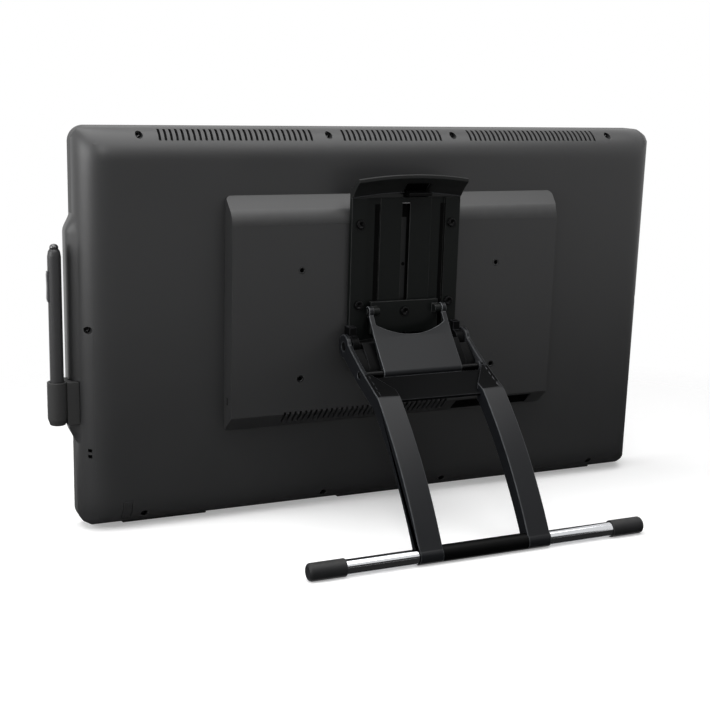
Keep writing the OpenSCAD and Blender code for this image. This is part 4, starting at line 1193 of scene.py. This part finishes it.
@dataclass
class Hood:
    """Flared visor over the bracket, with the window of the release lever.

    Attributes:
        half: Half width.
        low: Height of its lower edge.
        arch: Rise of the arched root over the lower edge.
        plate: Depth of the plate under the arch.
        lip: Depth of the lip.
        top: Height of the lip's top in the middle.
        lip_t: Thickness of the lip.
        bow: Radius of the arched lip.
        foot: Depth of the side against the shell.
        bead: Radius of the bead along the arched root.
        edge: Rounding of the sharp edges.
        window_at: Middle of the lever's window.
        window: Size of the lever's window.
        film: Depths and heights along the black film behind the window, painted shade in the window.
        film_ends: Ends of that film.
        columns: Faces across the visor.
    """

    half: float = 55.0
    low: float = 298.0
    arch: float = 4.6
    plate: float = 70.0
    lip: float = 84.0
    top: float = 320.0
    lip_t: float = 3.2
    bow: float = 380.0
    foot: float = 64.0
    bead: float = 0.5
    edge: float = 0.35
    window_at: Point = (-8.0, 79.0, 304.25)
    window: Point = (25.0, 24.0, 14.5)
    film: tuple[tuple[float, float], ...] = ((67.06, 298.2), (67.06, 306.2), (69.6, 308.0), (73.4, 311.6))
    film_ends: tuple[float, float] = (-20.4, 4.4)
    columns: int = 56

    def build(self) -> None:
        """Make the visor and cut its window."""
        shape = bmesh.new()
        spots = [-self.half + 2 * self.half * i / self.columns for i in range(self.columns + 1)]
        rows = [[(x, back, up) for back, up in self._section(x)] for x in spots]
        made = Forge.loft(shape, rows, Matrix(), ring=True)
        shape.faces.new(made[0])
        shape.faces.new(made[-1][::-1])
        bmesh.ops.recalc_face_normals(shape, faces=shape.faces)
        Piece.shaped("visor", self._cut(shape), Body.DISPLAY, Look.HOOD, ("hood",), even=True)
        self._bead()
        # Near-black film behind the window: painted shade.
        shape = bmesh.new()
        Forge.loft(shape, [[(x, back, up) for back, up in self.film] for x in self.film_ends])
        Piece.shaped("window_backing", shape, Body.DISPLAY, Look.SHADE)

    def _root(self, x: float) -> float:
        """Height of the arched root at one place across."""
        return self.low + self.arch * (1 - (x / self.half) ** 2) + 0.3

    def _bead(self) -> None:
        """Run a fine bead along the arched root, on both sides of the window; its pale paint partly paints the
        root's highlight line.
        """
        shape = bmesh.new()
        end, gap = self.half - 0.6, self.window[0] / 2 + self.bead
        turns = [math.radians(-20 + 44 * k) for k in range(6)]
        for left, right in ((-end, self.window_at[0] - gap), (self.window_at[0] + gap, end)):
            rows = []
            for i in range(25):
                x = left + (right - left) * i / 24
                back, up = self.plate + 0.3, self._root(x)
                rows.append([(x, back + self.bead * math.sin(t), up + self.bead * math.cos(t)) for t in turns])
            Forge.loft(shape, rows)
        # Pale paint: partly a painted highlight along the bead.
        Piece.shaped("visor_bead", shape, Body.DISPLAY, Look.CHEEK)

    def _section(self, x: float) -> list[tuple[float, float]]:
        """Outline of the visor at one place across, as depths and heights."""
        root = self._root(x)
        top = self.top - (self.bow - math.sqrt(self.bow ** 2 - x ** 2))
        under = top - self.lip_t
        points = [(self.foot, self.low), (self.plate - 0.4, self.low), (self.plate, self.low + 0.25),
                  (self.plate, root)]
        for i in range(1, 9):
            t = i / 8
            back = self.plate + 0.9 + (self.lip - self.plate - 0.9) * (0.62 * t + 0.38 * t * t)
            points.append((back, root + 0.15 + (under - root - 0.15) * t))
        points += [(self.lip, top - 0.8), (self.lip - 0.3, top - 0.2), (self.lip - 0.9, top),
                   (self.lip - 3.4, top - 0.1), (self.foot + 5.0, self.low + 9.5),
                   (self.foot, self.low + 9.0)]
        return points

    def _cut(self, shape: bmesh.types.BMesh) -> bmesh.types.BMesh:
        """Cut the lever's window through the visor.

        Args:
            shape: Visor in upright millimetres; it is freed.

        Returns:
            The cut shape in the part's metres, with rounded edges.
        """
        block = bmesh.new()
        bmesh.ops.create_cube(block, size=1.0)
        for vertex in block.verts:
            vertex.co = Vector(self.window_at) + vertex.co * Vector(self.window)
        things = []
        for part, name in ((shape, "visor_blank"), (block, "visor_window")):
            things.append(bpy.data.objects.new(name, Forge.finish(part, name)))
            bpy.context.scene.collection.objects.link(things[-1])
        cut = things[0].modifiers.new("window", "BOOLEAN")
        cut.object = things[1]
        cut.solver = "EXACT"
        bpy.context.view_layer.update()
        seen = things[0].evaluated_get(bpy.context.evaluated_depsgraph_get())
        mesh = bpy.data.meshes.new_from_object(seen)
        for thing in things:
            bpy.data.objects.remove(thing)
        done = bmesh.new()
        done.from_mesh(mesh)
        bmesh.ops.remove_doubles(done, verts=done.verts, dist=1e-4)
        done.transform(PANEL.matrix)
        Forge.ease(done, Forge.sharp(done, 40.0), self.edge, 2)
        return done


@dataclass
class LegWeb:
    """Folded web between the legs' cheeks, behind the link, and the rivets of the link's pin; the web's near-black
    paint paints its shade, and the rivets' pale paint partly paints their glint.

    Attributes:
        strips: Ends of each strip, and the depth and height of its top.
        fold: Depths and heights along the fold that the strips share.
        half_t: Half of the web's thickness.
        edge: Rounding of its edges.
        rivet_at: Place of one rivet, mirrored for the other.
        rivet: Radius and height along a rivet's head.
    """

    strips: tuple[tuple[float, float, tuple[float, float]], ...] = (
        (-49.3, 49.3, (87.0, 168.0)), (49.3, 58.7, (88.6, 163.0)), (-58.7, -49.3, (88.6, 163.0)))
    fold: tuple[tuple[float, float], ...] = ((104.6, 150.2), (105.0, 141.2), (108.6, 138.5), (118.6, 138.6))
    half_t: float = 0.5
    edge: float = 0.25
    rivet_at: Point = (59.0, 111.6, 145.3)
    rivet: tuple[tuple[float, float], ...] = ((5.0, 0.0), (5.0, 0.7), (4.5, 1.2), (3.0, 1.2))

    def build(self) -> None:
        """Make the web and the rivets."""
        shape = bmesh.new()
        for left, right, top in self.strips:
            line = [Vector((0.0, *p)) for p in (top, *self.fold)]
            rings = []
            for i, point in enumerate(line):
                way = line[min(i + 1, len(line) - 1)] - line[max(i - 1, 0)]
                side = Vector((0.0, way.z, -way.y)).normalized() * self.half_t
                rings.append([point + s * side + Vector((x, 0.0, 0.0))
                              for x, s in ((left, 1), (right, 1), (right, -1), (left, -1))])
            made = Forge.loft(shape, rings, ring=True)
            shape.faces.new(made[0])
            shape.faces.new(made[-1])
        bmesh.ops.recalc_face_normals(shape, faces=shape.faces)
        Forge.ease(shape, Forge.sharp(shape, 60.0), self.edge, 2)
        # Near-black paint: painted shade on the web.
        Piece.shaped("leg_web", shape, Body.LEGS, Look.CROSS, even=True)
        shape = bmesh.new()
        for side in (-1, 1):
            turn = Matrix.Rotation(math.radians(-90 * side), 4, "Y")
            x, back, up = self.rivet_at
            place = PANEL.matrix @ Matrix.Translation((side * x, back, up)) @ turn
            Forge.lathe(shape, list(self.rivet), place, 32)
        bmesh.ops.recalc_face_normals(shape, faces=shape.faces)
        # Pale paint: partly a painted glint on the rivets.
        Piece.shaped("pin_rivets", shape, Body.LEGS, Look.CHEEK, even=True)


@dataclass
class ChannelShadeAndStrip:
    """Thin films of the bracket's channel: near-black films that paint the shade on its sides, and the strip behind
    the slot.

    Attributes:
        sides: Places across and depths along each painted-shade film.
        side_ends: Lower and upper end of the painted-shade films.
        strip: Place across and depth along the strip.
        strip_ends: Lower and upper end of the strip.
        hole_at: Place of the black disc that paints the shade in the strip's hole.
        hole: Radius and height along the hole's rim.
    """

    sides: tuple[tuple[tuple[float, float], ...], ...] = (
        ((26.1, 67.9), (26.1, 66.57), (31.0, 66.57)), ((-39.9, 69.3), (-39.9, 66.57), (-35.8, 66.57)),
        ((8.6, 64.06), (-8.6, 64.06)))
    side_ends: tuple[float, float] = (169.0, 292.0)
    strip: tuple[tuple[float, float], ...] = ((4.6, 64.12), (-2.4, 64.12))
    strip_ends: tuple[float, float] = (170.0, 279.5)
    hole_at: Point = (-0.3, 64.14, 236.0)
    hole: tuple[tuple[float, float], ...] = ((1.7, 0.0), (1.5, 0.03), (0.0, 0.03))

    def build(self) -> None:
        """Lay the painted-shade films and the strip, and paint the shade in the strip's hole."""
        # Near-black films paint the shade on the channel's sides.
        for name, look, lines, ends in (("channel_films", Look.SHADE, self.sides, self.side_ends),
                                        ("rack_strip", Look.STRIP, (self.strip,), self.strip_ends)):
            shape = bmesh.new()
            for line in lines:
                Forge.loft(shape, [[(x, back, up) for up in ends] for x, back in line[::-1]])
            Piece.shaped(name, shape, Body.DISPLAY, look)
        # Black disc that paints the shade in the strip's hole.
        shape = bmesh.new()
        Forge.lathe(shape, list(self.hole), Forge.facing(*self.hole_at), 24)
        Piece.shaped("rack_hole", shape, Body.DISPLAY, Look.SHADE)


@dataclass
class Stand:
    """Bracket, carriage, link, leg frame and floor bar.

    Attributes:
        flange: Depth of the bracket's flanges, where its screws sit.
        carriage: Depth of the carriage's face, where its bolt sits.
        bolt_up: Height of the carriage's bolt.
        cheek_in: Inner side of the legs' cheeks.
        knee: Depth and height of the legs' knee.
        lug_top: Height where the bracket's hinge lugs end.
        lug_in: Inner side of the lugs.
        screw_half: Distance of the bracket's screws from the middle.
        screw_ups: Heights of the bracket's screws.
        shaded: Solids of which some faces take painted shade or painted light.
        hood: Visor over the bracket.
        films: Painted-shade films and strip of the channel.
        web: Web between the cheeks.
    """

    flange: float = 69.5
    carriage: float = 71.8
    bolt_up: float = 192.84
    cheek_in: float = 59.2
    knee: tuple[float, float] = (151.6, 120.0)
    lug_top: float = 181.5
    lug_in: float = 49.0
    screw_half: float = 46.3
    screw_ups: tuple[float, float] = (200.0, 274.0)
    shaded: tuple[str, ...] = ("left_leg", "right_leg", "stand_bracket")
    hood: Hood = field(default_factory=Hood)
    films: ChannelShadeAndStrip = field(default_factory=ChannelShadeAndStrip)
    web: LegWeb = field(default_factory=LegWeb)

    def build(self) -> None:
        """Make every piece of the stand."""
        for node, body, look, width in (
                ("stand_bracket", Body.DISPLAY, Look.BRACKET, 0.4), ("lever_pin", Body.DISPLAY, Look.PIN, 0.2),
                # The hinge pin and washers take the black lever finish, which paints the shade round the hinge.
                ("leg_hinge_pin", Body.DISPLAY, Look.LEVER, 0.5), ("hinge_washers", Body.DISPLAY, Look.LEVER, 0.3),
                ("release_lever", Body.LEVER, Look.LEVER, 0.5),
                ("slider_carriage", Body.CARRIAGE, Look.BRACKET, 0.4),
                ("link_plate", Body.LINK, Look.LINK, 0.5), ("left_leg", Body.LEGS, Look.LEGS, 0.9),
                # The cross plate takes the near-black finish, painted shade.
                ("right_leg", Body.LEGS, Look.LEGS, 0.9), ("cross_plate", Body.LEGS, Look.CROSS, 0.4),
                ("link_pin", Body.LEGS, Look.BLACK_BOLT, 0.5), ("floor_tube", Body.LEGS, Look.CHROME, 0.5),
                ("bar_sleeve", Body.LEGS, Look.LEVER, 0.3), ("end_cap_left", Body.LEGS, Look.RUBBER, 0.5),
                ("end_cap_right", Body.LEGS, Look.RUBBER, 0.5)):
            made = Piece.eased(node, body, look, width)
            if node in self.shaded:
                self._shade(made.data, node)
        for part in (self.hood, self.films, self.web):
            part.build()
        spots = [(x, self.flange, up) for x in (-self.screw_half, self.screw_half) for up in self.screw_ups]
        for name, places, body, node in (
                ("bracket_screw_heads", spots, Body.DISPLAY, "bracket_screws"),
                ("carriage_bolt", [(0.0, self.carriage, self.bolt_up)], Body.CARRIAGE, "slider_bolt")):
            ScrewSet(name, places, radius=4.2, height=2.4, recess=2.3, slit=0.55, body=body, nodes=(node,),
                     look=Look.BLACK_BOLT).build()

    def _shade(self, mesh: bpy.types.Mesh, node: str) -> None:
        """Paint shade on the hinge lugs and on the legs between the cheeks above the knee, and paint light on the
        cheeks' inner faces there.

        Args:
            mesh: Mesh of the dressed solid.
            node: Solid that it stands for.
        """
        for look in (Look.CROSS, Look.CHEEK):
            mesh.materials.append(look.material())
        upright = PANEL.matrix.inverted()
        for polygon in mesh.polygons:
            spot = upright @ polygon.center
            across = abs(polygon.normal.x) > 0.9
            if node == "stand_bracket":
                # Hinge lugs take the near-black paint: painted shade.
                polygon.material_index = 1 if spot.z < self.lug_top and abs(spot.x) > self.lug_in else 0
            elif spot.y < self.knee[0] and spot.z > self.knee[1] and abs(spot.x) < self.cheek_in:
                # Above the knee, faces that look across take pale painted light, the rest near-black painted shade.
                polygon.material_index = 2 if across else 1


@dataclass
class PenSet:
    """Pen and the clip that holds it.

    Attributes:
        clip_edge: Rounding of the clip.
        barrel_edge: Rounding of the barrel.
        switch_edge: Rounding of the side switch.
        nib_edge: Rounding of the nib.
        skirt: Share of the end cap under its dome.
    """

    clip_edge: float = 0.6
    barrel_edge: float = 0.25
    switch_edge: float = 0.3
    nib_edge: float = 0.1
    skirt: float = 0.3

    def build(self) -> None:
        """Make the clip and the parts of the pen."""
        for node, body, look, width in (
                ("pen_holder", Body.DISPLAY, Look.BLACK_PLASTIC, self.clip_edge),
                ("pen_barrel", Body.PEN, Look.PEN, self.barrel_edge),
                ("pen_side_switch", Body.PEN_SWITCH, Look.KEY, self.switch_edge),
                ("pen_nib", Body.NIB, Look.BLACK_PLASTIC, self.nib_edge)):
            Piece.eased(node, body, look, width, 3)
        self._cap()

    def _cap(self) -> None:
        """Make the domed end of the pen in the place of its solid."""
        upright = PANEL.matrix.inverted()
        spots = [upright @ v.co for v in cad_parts["pen_end_cap"].data.vertices]
        low, high = ([pick(p[k] for p in spots) for k in range(3)] for pick in (min, max))
        radius, tall = (high[0] - low[0]) / 2, high[2] - low[2]
        profile = [(0.0, 0.0), (radius, 0.0), (radius, self.skirt * tall)]
        profile += [(radius * math.cos(t), tall * (self.skirt + (1 - self.skirt) * math.sin(t)))
                    for t in (math.radians(9 * i) for i in range(1, 10))]
        profile.append((0.0, tall))
        shape = bmesh.new()
        middle = ((low[0] + high[0]) / 2, (low[1] + high[1]) / 2, low[2])
        Forge.lathe(shape, profile, PANEL.matrix @ Matrix.Translation(middle), 40)
        bmesh.ops.recalc_face_normals(shape, faces=shape.faces)
        Piece.shaped("pen_end_dome", shape, Body.PEN, Look.PEN_CAP, ("pen_end_cap",), even=True)


@dataclass
class InnerParts:
    """Solids inside the shell, which keep their own shape and take their finish.

    Attributes:
        looks: Finish of each solid, by its node's name.
    """

    looks: dict[str, Look] = field(default_factory=lambda: {
        "lcd_panel": Look.PANEL_OFF, "backlight_tray": Look.TRAY, "digitizer_sheet": Look.BOARD,
        "shield_plate": Look.SHEET, "chassis_frame": Look.SHEET, "chassis_screws": Look.STEEL,
        "main_board": Look.BOARD, "power_board": Look.BOARD, "key_board": Look.BOARD})

    def dress(self) -> None:
        """Give each inner solid its finish."""
        for node, look in self.looks.items():
            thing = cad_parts[node]
            thing.data.materials.clear()
            thing.data.materials.append(look.material())
            LOG.info("solid %s dressed", node)


def aimed(name: str, data: bpy.types.ID, place: Point, aim: Point) -> bpy.types.Object:
    """Put an object into the scene, facing a point.

    Args:
        name: Name of the object.
        data: Its camera, light or mesh.
        place: Its place.
        aim: Point that it faces.

    Returns:
        The new object.
    """
    thing = bpy.data.objects.new(name, data)
    thing.location = place
    thing.rotation_euler = (Vector(aim) - Vector(place)).to_track_quat("-Z", "Y").to_euler()
    bpy.context.scene.collection.objects.link(thing)
    return thing


@dataclass(frozen=True)
class Flag:
    """Grey panel that only reflections see.

    Attributes:
        name: Name of the panel.
        place: Its middle.
        aim: Point that it faces.
        width: Its width.
        height: Its height.
        level: Its grey, where 1 is white.
    """

    name: str
    place: Point
    aim: Point
    width: float
    height: float
    level: float

    def build(self) -> None:
        """Put the panel into the scene."""
        shape = bmesh.new()
        bmesh.ops.create_grid(shape, x_segments=1, y_segments=1, size=0.5)
        for vertex in shape.verts:
            vertex.co = Vector((vertex.co.x * self.width, vertex.co.y * self.height, 0.0))
        flag = aimed(self.name, Forge.finish(shape, self.name), self.place, self.aim)
        material, _, shader = blank_material(self.name)
        set_inputs(shader, {"Base Color": (*BLACK, 1.0), "Specular IOR Level": 0.0,
                            "Emission Color": (self.level, self.level, self.level, 1.0), "Emission Strength": 1.0})
        flag.data.materials.append(material)
        flag.visible_camera = False
        flag.visible_diffuse = False
        flag.visible_shadow = False


@dataclass(frozen=True)
class Softbox:
    """One soft light.

    Attributes:
        name: Name of the light.
        place: Its place.
        aim: Point that it faces.
        width: Width of its panel.
        height: Height of its panel.
        power: Power in watts.
    """

    name: str
    place: Point
    aim: Point
    width: float
    height: float
    power: float

    def build(self) -> None:
        """Put the light into the scene."""
        data = bpy.data.lights.new(self.name, "AREA")
        data.shape = "RECTANGLE"
        data.size = self.width
        data.size_y = self.height
        data.energy = self.power
        aimed(self.name, data, self.place, self.aim)


@dataclass
class Studio:
    """Pale floor, white surroundings, soft lights and the camera.

    Attributes:
        eye: Place of the camera.
        aim: Point that it looks at.
        lens: Focal length on a 36 mm sensor.
        ambient: Level of the light that comes from all round.
        bare: Distance from the middle where the floor starts to fade into the white, in metres.
        fade: Distance where it has faded away, in metres.
        floor_half: Half of the floor's width, in metres.
        floor_grey: Grey of the floor.
        floor_rough: Roughness of the floor.
        floor_lift: Glow that lifts the floor towards white where it is seen.
        flags: Grey panels that shape the gloss.
        lights: Soft lights.
    """

    eye: Point = (0.52689, 1.136407, 0.34438)
    aim: Point = (0.0122, -0.010973, 0.1371)
    lens: float = 65.13
    ambient: float = 0.16
    bare: float = 0.42
    fade: float = 0.85
    floor_half: float = 6.0
    floor_grey: float = 0.82
    floor_rough: float = 0.9
    floor_lift: float = 0.32
    flags: tuple[Flag, ...] = (
        Flag("camera_side_flag", (0.2, 2.1, 0.45), (0.0, 0.0, 0.3), 3.4, 0.9, 0.05),
        Flag("near_table_flag", (0.0, 0.01, 0.003), (0.0, 0.01, 1.0), 3.4, 0.62, 0.03),
        Flag("mid_table_flag", (0.0, 0.47, 0.003), (0.0, 0.47, 1.0), 3.4, 0.30, 0.12),
        Flag("far_table_flag", (0.0, 1.37, 0.003), (0.0, 1.37, 1.0), 3.4, 1.5, 0.85))
    lights: tuple[Softbox, ...] = (
        Softbox("top_softbox", (0.1, 0.25, 1.35), (0.0, 0.1, 0.2), 2.0, 1.3, 22.0),
        Softbox("pen_side_softbox", (1.35, 0.2, 0.55), (0.2, 0.1, 0.3), 0.8, 0.8, 11.0),
        Softbox("camera_side_softbox", (0.66, 1.2, 1.15), (0.2, 0.05, 0.3), 0.35, 0.35, 4.0))

    def build(self) -> None:
        """Make the whole studio."""
        self._camera()
        self._world()
        self._floor()
        for part in (*self.flags, *self.lights):
            part.build()
        bpy.context.scene.view_settings.view_transform = "Standard"

    def _camera(self) -> None:
        """Set the camera at the photograph's angle."""
        data = bpy.data.cameras.new("camera")
        data.lens = self.lens
        data.sensor_width = 36.0
        data.sensor_fit = "HORIZONTAL"
        data.clip_start = 0.01
        bpy.context.scene.camera = aimed("camera", data, self.eye, self.aim)

    @staticmethod
    def _seen(tree: bpy.types.NodeTree) -> bpy.types.NodeSocket:
        """Tell rays that show the surroundings from rays that light the object.

        Args:
            tree: Tree that takes the nodes.

        Returns:
            Socket that is 1 for camera, glossy and transmitted rays.
        """
        path = tree.nodes.new("ShaderNodeLightPath")
        total = path.outputs["Is Camera Ray"]
        for key in ("Is Glossy Ray", "Is Transmission Ray"):
            add = tree.nodes.new("ShaderNodeMath")
            add.operation = "MAXIMUM"
            tree.links.new(total, add.inputs[0])
            tree.links.new(path.outputs[key], add.inputs[1])
            total = add.outputs[0]
        return total

    def _world(self) -> None:
        """Make the white surroundings."""
        world = bpy.data.worlds.new("surroundings")
        world.use_nodes = True
        tree = world.node_tree
        ground = tree.nodes["Background"]
        level = tree.nodes.new("ShaderNodeMapRange")
        set_inputs(level, {"To Min": self.ambient, "To Max": 1.0})
        tree.links.new(self._seen(tree), level.inputs["Value"])
        tree.links.new(level.outputs["Result"], ground.inputs["Strength"])
        set_inputs(ground, {"Color": (*WHITE, 1.0)})
        bpy.context.scene.world = world

    def _floor(self) -> None:
        """Make the pale floor, which keeps the object's shadow."""
        shape = bmesh.new()
        bmesh.ops.create_grid(shape, x_segments=1, y_segments=1, size=self.floor_half)
        floor = bpy.data.objects.new("floor", Forge.finish(shape, "floor"))
        bpy.context.scene.collection.objects.link(floor)
        material, tree, shader = blank_material("pale_floor")
        set_inputs(shader, {"Base Color": (self.floor_grey, self.floor_grey, self.floor_grey, 1.0),
                            "Roughness": self.floor_rough, "Specular IOR Level": 0.0,
                            "Emission Color": (*WHITE, 1.0)})
        lift = tree.nodes.new("ShaderNodeMath")
        lift.operation = "MULTIPLY"
        lift.inputs[1].default_value = self.floor_lift
        tree.links.new(self._seen(tree), lift.inputs[0])
        tree.links.new(lift.outputs[0], shader.inputs["Emission Strength"])
        place = tree.nodes.new("ShaderNodeTexCoord")
        length = tree.nodes.new("ShaderNodeVectorMath")
        length.operation = "LENGTH"
        tree.links.new(place.outputs["Object"], length.inputs[0])
        alpha = tree.nodes.new("ShaderNodeMapRange")
        set_inputs(alpha, {"From Min": self.bare, "From Max": self.fade, "To Min": 1.0, "To Max": 0.0})
        tree.links.new(length.outputs["Value"], alpha.inputs["Value"])
        tree.links.new(alpha.outputs["Result"], shader.inputs["Alpha"])
        floor.data.materials.append(material)


def main() -> None:
    """Build the studio and every sub-assembly."""
    logging.basicConfig(level=logging.INFO, format="%(message)s")
    Studio().build()
    for assembly in (BackShell(), FrontFace(), Stand(), PenSet()):
        assembly.build()
    InnerParts().dress()
    bpy.context.view_layer.update()


if __name__ == "__main__":
    main()
